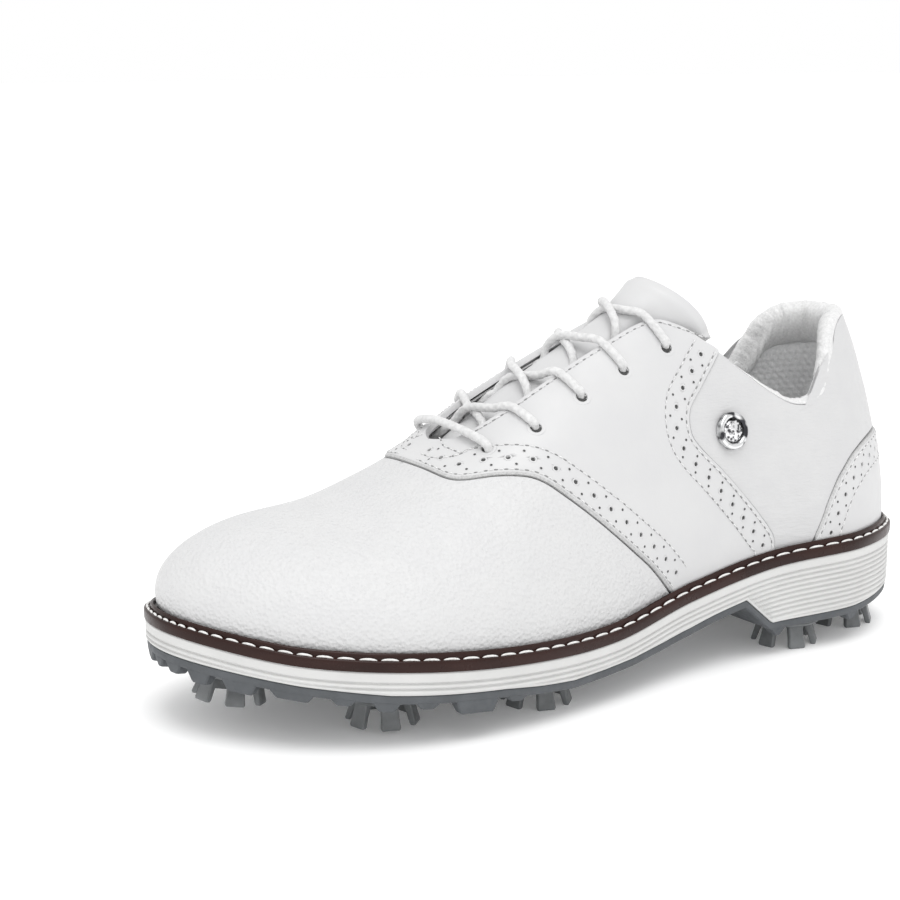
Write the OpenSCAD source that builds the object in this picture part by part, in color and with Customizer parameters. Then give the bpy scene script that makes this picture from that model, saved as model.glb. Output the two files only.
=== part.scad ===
// Left golf shoe with a saddle upper, a stitched storm welt and nine twist-lock cleats.
// +X runs from heel to toe, +Y to the outer (lateral) side, +Z up. Millimetres throughout.

/* [Overall] */
// Length from heel back to toe tip, over the welt
shoe_length = 304; // [260:1:330]
// Welt width across the ball of the foot, as a share of the drawn outline
width_scale = 1; // [0.9:0.01:1.1]
// Height of the upper above the welt, as a share of the drawn last
upper_scale = 1; // [0.9:0.01:1.1]

/* [Upper] */
// Thickness of the vamp and quarter leather
leather_t = 1.5; // [1:0.1:2.5]
// How far the saddle and heel patch stand above the leather around them
overlay_t = 0.9; // [0.5:0.1:1.5]
// Gap left where two panels meet, as a share of the way round half the shoe
panel_gap = 0.0006; // [0.0003:0.0001:0.002]
// Thickness of the padded heel lining
pad_t = 3; // [2:0.5:5]
// Thickness of the rolled collar, measured inwards
collar_t = 7; // [5:0.5:9]
// Height of the rolled collar
collar_h = 9; // [7:0.5:12]

/* [Tongue] */
// Thickness of the tongue's outer leather
tongue_skin_t = 1.2; // [0.8:0.1:2]
// Thickness of the tongue's foam
tongue_foam_t = 3.6; // [2:0.5:6]
// Thickness of the tongue's lining
tongue_lining_t = 0.8; // [0.5:0.1:1.5]

/* [Lace] */
// Diameter of the round lace
lace_d = 3.2; // [2.5:0.1:4]
// Diameter of the punched eyelets
eyelet_d = 4.4; // [3.5:0.1:6]

/* [Welt and midsole] */
// Thickness of the welt
welt_t = 4.3; // [3:0.1:6]
// How far the upper stands in from the welt's edge
welt_inset = 4.5; // [3.5:0.1:6]
// Distance from one welt stitch to the next
stitch_pitch = 5.9; // [5:0.1:12]
// Diameter of the welt thread
thread_d = 0.8; // [0.6:0.1:1.4]

/* [Outsole and cleats] */
// Thickness of the outsole
outsole_t = 3; // [2:0.5:4]
// Height of the blocks under the forefoot
lug_h = 3; // [2:0.5:4]
// Diameter of a cleat's disc
cleat_d = 26; // [22:1:28]
// Thickness of a cleat's disc
disc_t = 2; // [1.5:0.5:3]
// Height of the cleat legs below the disc
leg_h = 8.5; // [6:0.5:10]
// Legs on each cleat
leg_count = 6; // [6:1:10]
// Width of a leg
leg_w = 6.6; // [4:0.1:7]
// Diameter of a receptacle cup
cup_d = 20; // [18:0.5:22]
// Height of a receptacle cup
cup_h = 6; // [5:0.5:7]

/* [Badge] */
// Diameter of the badge ring on the lateral quarter
badge_d = 13.5; // [10:0.5:16]

/* [Hidden] */
$fn = 48;
long = shoe_length / 304;

// Plan outline of the welt, heel to toe, lateral side then medial side.
lateral_edge = [for (p = [[0, 0], [7, 24], [38, 40.5], [80, 39.5], [120, 42], [160, 50.5],
    [200, 57], [240, 54], [275, 37], [297, 12.5], [304, -9.5]]) [p[0] * long, p[1] * width_scale]];
medial_edge = [for (p = [[0, 0], [7, -24], [38, -40.5], [80, -35.5], [120, -34.5], [160, -41],
    [200, -50.5], [240, -54], [275, -46], [297, -30.5], [304, -9.5]])
    [p[0] * long, p[1] * width_scale]];
edge_n = len(lateral_edge) - 1;
lateral_guides = concat([medial_edge[1]], lateral_edge, [medial_edge[edge_n - 1]]);
medial_guides = concat([lateral_edge[1]], medial_edge, [lateral_edge[edge_n - 1]]);
spine_guides = [for (p = lateral_guides) p[0]];
y_mid = 1.5 * width_scale;

// Height of the welt's underside, and of the midsole's underside, by distance from the heel.
welt_low = [[0, 36], [40, 36.3], [80, 34.4], [120, 28.5], [160, 22.5], [200, 23.4], [240, 26.3],
    [275, 29.5], [304, 35.3]];
midsole_low = [[0, 17], [40, 14.5], [79.5, 13.5], [92.5, 24.2], [108, 21.4], [120, 18.9], [135, 16.5],
    [150, 14.7], [165, 13.8], [180, 13.5], [195, 14.8], [210, 16.5], [230, 17.9], [250, 19.4],
    [275, 23], [304, 28.4]];
sole_stations = [0, 0.01, 0.025, 0.045, 0.07, 0.1, 0.14, 0.18, 0.22, 0.26, 0.28, 0.2988, 0.3309,
    0.36, 0.4, 0.45, 0.5, 0.55, 0.6, 0.65, 0.7, 0.74, 0.78, 0.82, 0.86, 0.89, 0.92, 0.94, 0.96,
    0.975, 0.99, 1];

// The last: ridge height and side offset along the shoe, and how full each rib is.
ridge_z = [[0, 142], [40, 142], [80, 142], [100, 139], [120, 130], [150, 117], [180, 101],
    [212, 81], [240, 72], [270, 75], [304, 85]];
ridge_y = [[0, 0], [120, -2], [160, -3], [212, -5], [304, -9]];
rib_n = [[40, 1.95], [100, 2.1], [150, 2.1], [212, 2.3]];
rib_m = [[40, 1.4], [100, 2], [150, 2], [212, 2.05]];
heel_centre = 40;
toe_centre = 212;

// Panel edges as [place round the shoe, height up the rib]: heel 0, toe 1, feather line 0, ridge 1.
front_seam = [[0, 0.417], [0.14, 0.443], [0.27, 0.471], [0.39, 0.496], [0.5, 0.517], [0.6, 0.535],
    [0.7, 0.552], [0.76, 0.565], [0.84, 0.589], [0.92, 0.618], [1, 0.629]];
rear_seam = [[0, 0.292], [0.07, 0.296], [0.16, 0.313], [0.26, 0.334], [0.37, 0.357], [0.47, 0.377],
    [0.54, 0.386], [0.62, 0.383], [0.67, 0.366], [0.745, 0.341], [0.8, 0.335], [0.9, 0.325],
    [1, 0.32]];
patch_top = [[0, 0.365], [0.143, 0.347], [0.192, 0.306], [0.217, 0.246], [0.233, 0.17],
    [0.246, 0.066], [0.254, 0]];
topline = [[0, 0.79], [0.09, 0.79], [0.145, 0.78], [0.175, 0.76], [0.195, 0.72], [0.208, 0.655],
    [0.216, 0.6], [0.226, 0.54], [0.24, 0.507], [0.255, 0.503], [0.27, 0.517], [0.288, 0.561],
    [0.306, 0.617], [0.324, 0.677], [0.341, 0.745]];
saddle_top = [[0, 0.745], [0.093, 0.807], [0.175, 0.885], [0.226, 0.932], [0.29, 0.952],
    [0.42, 0.955], [0.72, 0.965], [0.815, 0.975], [0.885, 0.988], [0.916, 1], [1, 1]];
saddle_columns = [0, 0.05, 0.093, 0.14, 0.175, 0.2, 0.226, 0.26, 0.3, 0.36, 0.42, 0.5, 0.58, 0.65,
    0.72, 0.77, 0.815, 0.85, 0.885, 0.916, 0.96, 1];
rows = 12;
foot_gap = 0.003;

// Eyelets from the toe end up, and the badge, on the same map.
eyelets = [[0.583, 0.925], [0.54, 0.875], [0.49, 0.865], [0.442, 0.858], [0.394, 0.845]];
badge_at = [0.341, 0.476];

// Cleats: [x, y, boss height under the outsole, tilt to follow the toe spring].
cleats = [[279, -3, 1.5, -9], [238, 25, 3, 0], [238, -27, 3, 0], [180, 31, 0, 0], [180, -24, 0, 0],
    [60, 24, 0.5, 0], [60, -22, 0.5, 0], [23, 15, 2, 0], [23, -14, 2, 0]];
tip_z = [9, 1.9, 1.9, 0, 0, 0, 0, 0, 0];

// ---- curves ----

function clamp(x, low, high) = min(max(x, low), high);

function unit(v) = v / norm(v);

// Point at t (0 to 1) on a smooth curve through p; the first and last entries only guide it.
function spline(p, t) =
  let (n = len(p) - 3, q = clamp(t, 0, 1) * n, i = min(floor(q), n - 1), f = q - i)
  0.5 * (2 * p[i + 1] + (p[i + 2] - p[i]) * f
    + (2 * p[i] - 5 * p[i + 1] + 4 * p[i + 2] - p[i + 3]) * f * f
    + (3 * p[i + 1] - p[i] - 3 * p[i + 2] + p[i + 3]) * f * f * f);

function slope(p, i) =
  let (a = p[max(i - 1, 0)], b = p[min(i + 1, len(p) - 1)]) (b[1] - a[1]) / (b[0] - a[0]);

// Smooth value at x through the [x, value] pairs of p.
function curve(p, at) =
  let (x = clamp(at, p[0][0], p[len(p) - 1][0]),
       i = min(max([for (k = [0:len(p) - 1]) if (p[k][0] <= x) k]), len(p) - 2),
       w = p[i + 1][0] - p[i][0],
       t = (x - p[i][0]) / w)
  p[i][1] * (2 * t * t * t - 3 * t * t + 1) + slope(p, i) * w * (t * t * t - 2 * t * t + t)
    + p[i + 1][1] * (3 * t * t - 2 * t * t * t) + slope(p, i + 1) * w * (t * t * t - t * t);

// ---- the sole's plan and profile ----

// Point of the plan outline; side is 1 lateral or -1 medial, u runs 0 heel to 1 toe.
function edge(side, u, off) =
  let (p = side > 0 ? lateral_guides : medial_guides,
       t = unit(spline(p, min(u + 0.0005, 1)) - spline(p, max(u - 0.0005, 0))),
       out = u < 0.0005 ? [-1, 0] : u > 0.9995 ? [1, 0] : side * [-t[1], t[0]])
  spline(p, u) + off * out;

// The same outline by v, which runs 0 at the heel, 1 at the toe and on to 2 back at the heel.
function side_of(v) = v > 1 || v < 0 ? -1 : 1;
function u_of(v) = v > 1 ? 2 - v : abs(v);
function rim(v, off) = edge(side_of(v), u_of(v), off);

function welt_z(x) = curve(welt_low, x / long);
function midsole_z(x) = lookup(x / long, midsole_low);

// ---- the last ----

function skin(v, h) =
  let (u = u_of(v),
       foot = rim(v, -welt_inset),
       cx = clamp(spline(spine_guides, u) / long, heel_centre, toe_centre),
       centre = [cx * long, curve(ridge_y, cx) * width_scale],
       k = clamp(h, 0, 1),
       full = pow(max(1 - pow(k, curve(rib_m, cx)), 0), 1 / curve(rib_n, cx)),
       swell = 1 + 0.03 * sin(180 * min(k / 0.6, 1)) * (1 - k),
       p = centre + (foot - centre) * full * swell,
       z0 = welt_z(foot[0]) + 4.5,
       z1 = 30 + (curve(ridge_z, p[0] / long) - 30) * upper_scale)
  [p[0], p[1], z0 * (1 - k) + z1 * k];

function ridge_normal(x) =
  unit([(curve(ridge_z, x / long - 2) - curve(ridge_z, x / long + 2)) / 4, 0, 1]);

function skin_normal(v, h) =
  h > 0.985
  ? ridge_normal(skin(v, h)[0])
  : unit(cross(skin(v, min(h + 0.004, 1)) - skin(v, max(h - 0.004, 0)),
               skin(v + 0.002, h) - skin(v - 0.002, h)));

// Point d millimetres inside the last's surface.
function inside(v, h, d) = skin(v, h) - skin_normal(v, h) * d;

// ---- solids from grids of points ----

function differ(a, b) = norm(a - b) > 0.001;

// Keeps the triangles whose three corners are apart.
function whole(pts, tris) =
  [for (t = tris) if (differ(pts[t[0]], pts[t[1]]) && differ(pts[t[1]], pts[t[2]])
    && differ(pts[t[2]], pts[t[0]])) t];

function quad(a, b, c, d) = [[a, b, c], [a, c, d]];

function flat(lists) = [for (a = lists) for (b = a) b];

// Closed solid between an outer and an inner grid of the same shape. A grid that folds over the
// ridge meets itself along its top row, so it has no wall there.
module between(outer, inner, folds = false) {
  n = len(outer);
  m = len(outer[0]);
  pts = concat(flat(outer), flat(inner));
  s = n * m;
  tris = flat(concat(
    [for (i = [0:n - 2]) for (j = [0:m - 2])
      quad(i * m + j, (i + 1) * m + j, (i + 1) * m + j + 1, i * m + j + 1)],
    [for (i = [0:n - 2]) for (j = [0:m - 2])
      quad(s + i * m + j, s + i * m + j + 1, s + (i + 1) * m + j + 1, s + (i + 1) * m + j)],
    [for (i = [0:n - 2]) quad((i + 1) * m, i * m, s + i * m, s + (i + 1) * m)],
    [for (i = [0:n - 2]) if (!folds) let (a = i * m + m - 1, b = a + m) quad(a, b, s + b, s + a)],
    [for (j = [0:m - 2]) quad(j, j + 1, s + j + 1, s + j)],
    [for (j = [0:m - 2]) let (a = (n - 1) * m + j) quad(a + 1, a, s + a, s + a + 1)]));
  polyhedron(pts, whole(pts, tris), convexity = 8);
}

// Closed solid through rings of points, joined end to end when looped, capped when not.
module tube(rings, looped = false) {
  n = len(rings);
  m = len(rings[0]);
  pts = flat(rings);
  last = looped ? n - 1 : n - 2;
  sides = flat([for (i = [0:last]) for (j = [0:m - 1])
    let (i2 = (i + 1) % n, j2 = (j + 1) % m) quad(i * m + j, i2 * m + j, i2 * m + j2, i * m + j2)]);
  caps = looped ? [] : [for (j = [1:m - 2]) for (e = [0, 1])
    e == 0 ? [0, j, j + 1] : [(n - 1) * m, (n - 1) * m + j + 1, (n - 1) * m + j]];
  polyhedron(pts, concat(sides, caps), convexity = 8);
}

// Moves from heel-based measuring to the shared frame, centred under the shoe.
module seat() {
  translate([-shoe_length / 2, -y_mid, 0]) children();
}

// Stands its children on the last's surface, their +Z pointing out of the shoe.
module on_skin(v, h, d = 0) {
  n = skin_normal(v, h);
  translate(inside(v, h, d)) rotate([0, acos(n[2]), atan2(n[1], n[0])]) children();
}

// ---- the upper ----

// Leather between depths d0 and d1 over a grid of [v, h] places.
module panel(grid, d0, d1, folds = false) {
  between([for (column = grid) [for (p = column) inside(p[0], p[1], d0)]],
          [for (column = grid) [for (p = column) inside(p[0], p[1], d1)]], folds);
}

// Share of the way up a panel at row j, with the rows closer together towards the ridge.
function rise(j) = sin(90 * j / rows);

function mirrored(grid) =
  [for (i = [len(grid) - 1:-1:0]) [for (p = grid[i]) [-p[0], p[1]]]];

function vamp_grid(columns, low = foot_gap) =
  [for (i = [0:columns]) [for (j = [0:rows])
    let (h = low + (1 - low) * rise(j), a = curve(front_seam, h) + panel_gap)
    [a + (2 - 2 * a) * i / columns, h]]];

function saddle_grid(inset = 0, low = foot_gap) =
  [for (s = saddle_columns) [for (j = [0:rows])
    let (h = low + (curve(saddle_top, s) - inset - low) * rise(j),
         a = curve(rear_seam, h) + panel_gap,
         b = curve(front_seam, h) - panel_gap)
    [a + (b - a) * s, h]]];

// Bottom edge of a quarter: along the heel patch, then along the welt.
function quarter_foot(s) =
  s < 0.85
  ? let (u = 0.254 * s / 0.85) [u, max(curve(patch_top, u), 0) + 0.004]
  : [0.254 + (0.292 - 0.254) * (s - 0.85) / 0.15, foot_gap];

function quarter_head(s) = [0.341 * s, curve(topline, 0.341 * s)];

function quarter_grid() =
  [for (i = [0:24]) [for (j = [0:rows])
    let (s = i / 24, r = j / rows, h = 0.745 * r,
         straight = quarter_foot(s) * (1 - r) + quarter_head(s) * r,
         front = [curve(rear_seam, h) - panel_gap, h],
         p = straight + s * (front - quarter_foot(1) * (1 - r) - quarter_head(1) * r))
    [max(p[0], panel_gap), p[1]]]];

function patch_grid() =
  [for (i = [-12:12]) let (u = abs(i) / 12 * 0.25, v = sign(i) * u) [for (j = [0:rows])
    [v, foot_gap + (curve(patch_top, u) - 0.004 - foot_gap) * j / rows]]];

// A strip or sheet round the heel or toe between two heights.
function belt_grid(v0, v1, columns, low, high) =
  [for (i = [0:columns]) [for (j = [0:4]) [v0 + (v1 - v0) * i / columns, low + (high - low) * j / 4]]];

function lining_grid() =
  [for (i = [-24:24]) [for (j = [0:8])
    let (s = abs(i) / 24, top = curve(topline, min(0.373 * s, 0.341)) - 0.13,
         h = 0.04 + (top - 0.04) * j / 8)
    [sign(i) * s * (curve(rear_seam, h) - 0.008), h]]];

module vamp() {
  color("white") seat() panel(vamp_grid(28), 0, leather_t, true);
}

module toe_puff() {
  color("tan") seat() panel(belt_grid(0.72, 1.28, 20, 0.02, 0.6), 1.9, 2.65);
}

module vamp_lining() {
  color("gainsboro") seat() panel(vamp_grid(28, 0.02), 3, 3.8, true);
}

module eyelet_holes(side) {
  for (e = eyelets) {
    on_skin(side * e[0], e[1], 4) cylinder(d = eyelet_d, h = 8);
  }
}

module saddle(side) {
  grid = saddle_grid();
  color("white") seat() difference() {
    panel(side > 0 ? grid : mirrored(grid), -overlay_t, leather_t);
    eyelet_holes(side);
  }
}

module facing_lining(side) {
  grid = saddle_grid(0.012, 0.02);
  color("gainsboro") seat() difference() {
    panel(side > 0 ? grid : mirrored(grid), 1.9, 2.6);
    eyelet_holes(side);
  }
}

module quarter(side) {
  grid = quarter_grid();
  color("white") seat() difference() {
    panel(side > 0 ? grid : mirrored(grid), 0, leather_t);
    if (side > 0) on_skin(badge_at[0], badge_at[1], 4) cylinder(d = 3.4, h = 8);
  }
}

module heel_patch() {
  color("white") seat() panel(patch_grid(), -overlay_t, leather_t);
}

module backstay() {
  color("white") seat() panel(belt_grid(-0.02, 0.02, 6, 0.375, 0.788), -0.9, -0.15);
}

module heel_counter() {
  color("tan") seat() panel(belt_grid(-0.24, 0.24, 24, 0.03, 0.34), 1.8, 2.8);
}

module quarter_lining() {
  color("silver") seat() panel(lining_grid(), 3.2, 3.2 + pad_t);
}

// The padded roll runs along the topline from one side of the throat round the heel to the other.
function collar_ring(v) =
  let (u = abs(v),
       thin = curve([[0, 1], [0.25, 1], [0.29, 0.7], [0.32, 0.35]], u),
       a = skin(v, curve(topline, u)),
       n = unit([skin_normal(v, curve(topline, u))[0], skin_normal(v, curve(topline, u))[1], 0]),
       middle = a - n * (leather_t + 0.4 + collar_t * thin / 2) + [0, 0, -collar_h / 2 + 2.5])
  [for (k = [0:11]) middle + n * collar_t * thin / 2 * cos(30 * k) + [0, 0, collar_h / 2 * sin(30 * k)]];

module collar() {
  color("whitesmoke") seat() tube([for (i = [-30:30]) collar_ring(0.32 * i / 30)]);
}

// ---- the tongue ----

tongue_side = [[0, 8.6], [0.1, 7.2], [0.8, 7.2], [0.9, 4.5], [1, 0.5]];
tongue_crest = [[0, 7], [0.1, 5.6], [0.3, 4.2], [0.6, 2.6], [0.75, 1.2], [0.83, -0.2], [0.9, -2.8], [1, -6]];
tongue_spread = [[0, 0.94], [0.2, 0.89], [0.6, 0.865], [1, 0.82]];

// Place on the tongue: t runs root to tip, q runs -1 to 1 across it.
function tongue_place(t, q) =
  let (h = 1 - (1 - curve(tongue_spread, t)) * q * q)
  [(0.615 + (0.377 - 0.615) * t - 0.23 * (1 - h)) * (q < 0 ? -1 : 1), h];

function tongue_depth(t, q) =
  let (w = t < 0.8 ? 0.55 : 0.55 + 0.45 * (t - 0.8) / 0.2, k = max(1 - pow(q / w, 2), 0))
  curve(tongue_side, t) * (1 - k) + curve(tongue_crest, t) * k;

function tongue_face(t, q, d) =
  let (p = tongue_place(t, q)) inside(p[0], p[1], tongue_depth(t, q) + d);

function tongue_slope(t, q) =
  let (way = tongue_face(t, q, 1) - tongue_face(t, q, 0)) way / norm(way);

// Direction through the padding; it turns evenly across the ridge, so that the layers never fold.
function tongue_down(t, q) =
  abs(q) > 0.5 ? tongue_slope(t, q)
  : let (way = tongue_slope(t, -0.5) * (0.5 - q) + tongue_slope(t, 0.5) * (0.5 + q)) way / norm(way);

function tongue_point(t, q, d) = tongue_face(t, q, 0) + tongue_down(t, q) * d;

// One face of the tongue; inset leaves out that many rows of its points along every edge.
function tongue_layer(d, inset) =
  [for (i = [12 - inset:-1:inset]) [for (j = [inset - 8:8 - inset]) tongue_point(i / 12, -j / 8, d)]];

module tongue_slab(d0, d1, inset = 0) {
  seat() between(tongue_layer(d0, inset), tongue_layer(d1, inset));
}

module tongue() {
  color("white") tongue_slab(0, tongue_skin_t);
}

module tongue_foam() {
  d = tongue_skin_t + 0.3;
  color("lightyellow") tongue_slab(d, d + tongue_foam_t, 1);
}

module tongue_lining() {
  d = tongue_skin_t + tongue_foam_t + 0.8;
  color("silver") tongue_slab(d, d + tongue_lining_t);
}

// ---- the lace ----

// Depth of the lace's centre where it crosses the tongue; the second strand rides on the first.
function cross_depth(t, strand) = curve(tongue_crest, t) - lace_d / 2 - 0.6 - (strand > 0 ? 0 : lace_d + 0.1);

// Height of the saddle's throat edge at place u.
function facing_edge(u) = curve(saddle_top, (u - 0.321) / 0.306);

// Depth at which the lace lies on the tongue at a place of the last.
function on_tongue(u, h) =
  let (t = (0.615 - 0.23 * (1 - h) - u) / 0.238, q = sqrt((1 - h) / (1 - curve(tongue_spread, t))))
  tongue_depth(t, q) - lace_d / 2 - 1.1;

// Up through one eyelet, over its facing and the tongue, and down under the far facing.
function lace_pass(side, k, strand) =
  let (a = eyelets[k], b = eyelets[k - 1], u = (a[0] + b[0]) / 2, t = (0.615 - u) / 0.238,
       over = -overlay_t - lace_d / 2 - 0.3,
       top = cross_depth(t, strand),
       step = (b[0] - u) / 6,
       low = facing_edge(u + 4 * step),
       near = on_tongue(a[0] * 0.25 + u * 0.75, 0.988))
  [inside(side * a[0], a[1], 4.7),
   inside(side * a[0], a[1] + 0.004, -0.6),
   inside(side * (a[0] * 0.92 + u * 0.08), a[1] * 0.7 + 0.2865, over),
   inside(side * (a[0] * 0.65 + u * 0.35), 0.957, over - 0.4),
   inside(side * (a[0] * 0.25 + u * 0.75), 0.988, min(near, top * 0.75 + over * 0.25) - 0.3),
   inside(side * u, 1, top),
   each [for (f = [[1, 0.13], [2, 0.45], [3, 0.75], [4, 1]])
     let (w = u + f[0] * step, h = 1 - (1 - low) * f[1], rest = on_tongue(w, h))
     inside(-side * w, h, f[0] < 4 ? min(rest, top + 0.6 * f[0] * f[0]) : min(rest, 4.1))],
   inside(-side * (u + 4.7 * step), low - 0.014, 4.5),
   inside(-side * (u + 5.4 * step), low - 0.035, 4.8)];

function lace_tail(side) =
  [inside(side * 0.47, 0.7, 5.4), inside(side * 0.43, 0.79, 5.2)];

function lace_half(side) =
  concat(lace_tail(side), [for (i = [0:3]) each lace_pass(i % 2 == 0 ? side : -side, 4 - i, side)]);

// The two halves climb from a straight bar across the lowest pair of eyelets.
function lace_bar_end(side) =
  let (e = eyelets[0])
  [inside(side * e[0], e[1], 4.7), inside(side * e[0], e[1], -2.8)];

function reversed(a) = [for (i = [len(a) - 1:-1:0]) a[i]];

lace_route = concat(lace_half(1), lace_bar_end(1),
    [inside(eyelets[0][0] + 0.004, 0.975, -3.4), inside(eyelets[0][0] + 0.006, 1, -3.6),
     inside(-eyelets[0][0] - 0.004, 0.975, -3.4)], reversed(lace_bar_end(-1)), reversed(lace_half(-1)));

// Rings square to the route, each turned as little as possible from the one before.
function route_rings(p, r, sides) =
  let (n = len(p), t = [for (i = [0:n - 1]) unit(p[min(i + 1, n - 1)] - p[max(i - 1, 0)])])
  [for (i = 0, a = unit(cross(t[0], [0, 0, 1])); i < n;
        i = i + 1, a = i < n ? unit(a - t[i] * (a * t[i])) : a)
    let (b = cross(t[i], a)) [for (k = [0:sides - 1])
      p[i] + r * (a * cos(360 * k / sides) + b * sin(360 * k / sides))]];

module lace() {
  color("white") seat() tube(route_rings(lace_route, lace_d / 2, 8));
}

module lace_tips() {
  color("gainsboro") seat() for (side = [1, -1]) {
    a = lace_tail(side)[0];
    d = unit(a - lace_tail(side)[1]);
    tube(route_rings([a + d * 0.2, a + d * 15], lace_d * 0.45, 8));
  }
}

// ---- the badge ----

module badge() {
  color("silver") seat() on_skin(badge_at[0], badge_at[1]) {
    translate([0, 0, 0.6]) rotate_extrude()
      polygon([[0, 0], [badge_d / 2, 0], [badge_d / 2, 1.6], [badge_d / 2 - 1, 2.4],
        [badge_d / 2 - 2, 1.6], [3.4, 2.6], [0, 3.2]]);
    translate([0, 0, -2.6]) cylinder(d = 2.8, h = 3.8);
  }
}

module badge_washer() {
  color("silver") seat() on_skin(badge_at[0], badge_at[1], 2.4) difference() {
    cylinder(d = 9, h = 0.5);
    translate([0, 0, -1]) cylinder(d = 3.2, h = 3);
  }
}

// ---- the bottom ----

function slab_grid(off, stations, z) =
  [for (u = stations) [for (j = [0:6])
    let (p = edge(1, u, off) * (1 - j / 6) + edge(-1, u, off) * j / 6) [p[0], p[1], z(p[0])]]];

module slab(off, top, low, stations = sole_stations) {
  between(slab_grid(off, stations, top), slab_grid(off, stations, low));
}

// Stands its children at a cleat's seat, where its disc meets the boss, with +Z into the shoe.
module at_cleat(k) {
  translate([cleats[k][0] * long, cleats[k][1] * width_scale, tip_z[k] + leg_h + disc_t])
    rotate([0, cleats[k][3], 0]) children();
}

module cleat_seats(d, h) {
  for (k = [0:8]) at_cleat(k) translate([0, 0, -1]) cylinder(d = d, h = h + 1);
}

// A block on the outsole's edge, seen as a trapezium from the side.
module lug(side, u, wide, high) {
  deep = 5.5;
  tip = wide / 2 - 1.8;
  p = edge(side, u, -1.6);
  q = edge(side, min(u + 0.01, 1), -1.6) - edge(side, max(u - 0.01, 0), -1.6);
  translate([p[0], p[1], midsole_z(p[0]) - outsole_t]) rotate([0, 0, atan2(q[1], q[0])])
    rotate([90, 0, 0]) translate([0, 0, side > 0 ? 0 : -deep]) linear_extrude(deep)
      polygon([[-wide / 2, 1], [-wide / 2, 0], [-tip, -high], [tip, -high], [wide / 2, 0],
        [wide / 2, 1]]);
}

module outsole() {
  // Edge lugs as [place along the edge, width, height], from the toe back to the heel.
  lugs = [[0.96, 7.5, 3], [0.913, 9, 3.8], [0.862, 12, 3.4], [0.81, 14, 2.2], [0.765, 8, 1.8],
    [0.73, 9, 2.6], [0.695, 8, 1.8], [0.65, 16, 4.2], [0.612, 8, 1.6], [0.29, 6.5, 2.4],
    [0.205, 7, 2.4], [0.02, 7, 2.4]];
  nubs = [[262, -26], [260, 16], [212, 0], [208, 34], [208, -34], [158, 4], [152, 28], [152, -20],
    [134, 6]];
  color("dimgray") seat() difference() {
    union() {
      slab(-1, function(x) midsole_z(x) - 0.15, function(x) midsole_z(x) - outsole_t - 0.15);
      for (side = [1, -1]) for (a = lugs) lug(side, a[0], a[1], a[2]);
      lug(1, 1, 6, 3);
      for (p = nubs) {
        translate([p[0] * long, p[1] * width_scale, midsole_z(p[0] * long) - outsole_t - lug_h])
          cylinder(d1 = 7, d2 = 11, h = lug_h + 1, $fn = 6);
      }
      for (k = [0:8]) at_cleat(k) cylinder(d = cup_d + 4, h = cleats[k][2] + 1.5);
    }
    cleat_seats(cup_d + 0.4, cup_h + 0.3);
  }
}

module midsole() {
  color("white") seat() difference() {
    slab(-0.4, function(x) welt_z(x), function(x) midsole_z(x));
    cleat_seats(cup_d + 0.4, cup_h + 0.3);
  }
}

module shank() {
  xs = [62, 75, 90, 105, 120, 135, 148];
  color("gray") seat() between(
    [for (x = xs) [for (y = [8, -8]) [x * long, y + 2, welt_z(x * long) + 1.5]]],
    [for (x = xs) [for (y = [8, -8]) [x * long, y + 2, welt_z(x * long) + 0.3]]]);
}

// Welt section as [distance out from the edge, height]: a stitched ledge and a raised inner lip.
welt_section = [[0, 0.15], [0, welt_t - 1], [-0.4, welt_t - 0.4], [-2, welt_t - 0.4],
    [-2.1, welt_t + 1.1], [-2.6, welt_t + 1.6], [-3.2, welt_t + 1.4], [-3.4, welt_t], [-9, welt_t],
    [-9, 0.15]];

module welt() {
  stops = concat([for (u = sole_stations) u], [for (i = [len(sole_stations) - 2:-1:1])
    2 - sole_stations[i]]);
  color([0.25, 0.13, 0.1]) seat() tube([for (v = stops) [for (s = welt_section)
    let (p = rim(v, s[0])) [p[0], p[1], welt_z(p[0]) + s[1]]]], true);
}

module welt_stitching() {
  count = round(2 * 336 * long / stitch_pitch);
  color("white") seat() for (i = [0:count - 1]) {
    v = 2 * i / count;
    a = rim(v, -1.1);
    b = rim(v + 1.62 / count, -1.1);
    z = welt_t - 0.4 + thread_d / 2 + 0.3;
    tube(route_rings([[a[0], a[1], welt_z(a[0]) + z], [b[0], b[1], welt_z(b[0]) + z]],
      thread_d / 2, 6));
  }
}

module insole_board() {
  color("burlywood") seat()
    slab(-9.4, function(x) welt_z(x) + 3.6, function(x) welt_z(x) + 1.7);
}

module sockliner() {
  color("lightgray") seat()
    slab(-10.2, function(x) welt_z(x) + 7.2, function(x) welt_z(x) + 3.9);
}

// A blind cup: the cleat's tabs pass its three slots and turn into the groove near its roof.
module receptacle(k) {
  color("darkgray") seat() at_cleat(k) difference() {
    rotate_extrude()
      polygon([[4.8, 0.1], [cup_d / 2, 0.1], [cup_d / 2, cup_h], [0, cup_h], [0, cup_h - 1],
        [7, cup_h - 1], [7, cup_h - 3.6], [4.8, cup_h - 3.6]]);
    for (i = [0:2]) rotate([0, 0, 120 * i + 60]) translate([0, -2, -1]) cube([6.9, 4, cup_h - 2]);
  }
}

// A leg flares outwards as it drops from the disc.
module leg() {
  rotate([90, 0, 0]) translate([0, 0, -leg_w / 2]) linear_extrude(leg_w)
    polygon([[6.4, 0.5], [9.8, 0.5], [9.8, 0], [12.3, -leg_h], [10, -leg_h], [6.4, 0]]);
}

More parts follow.
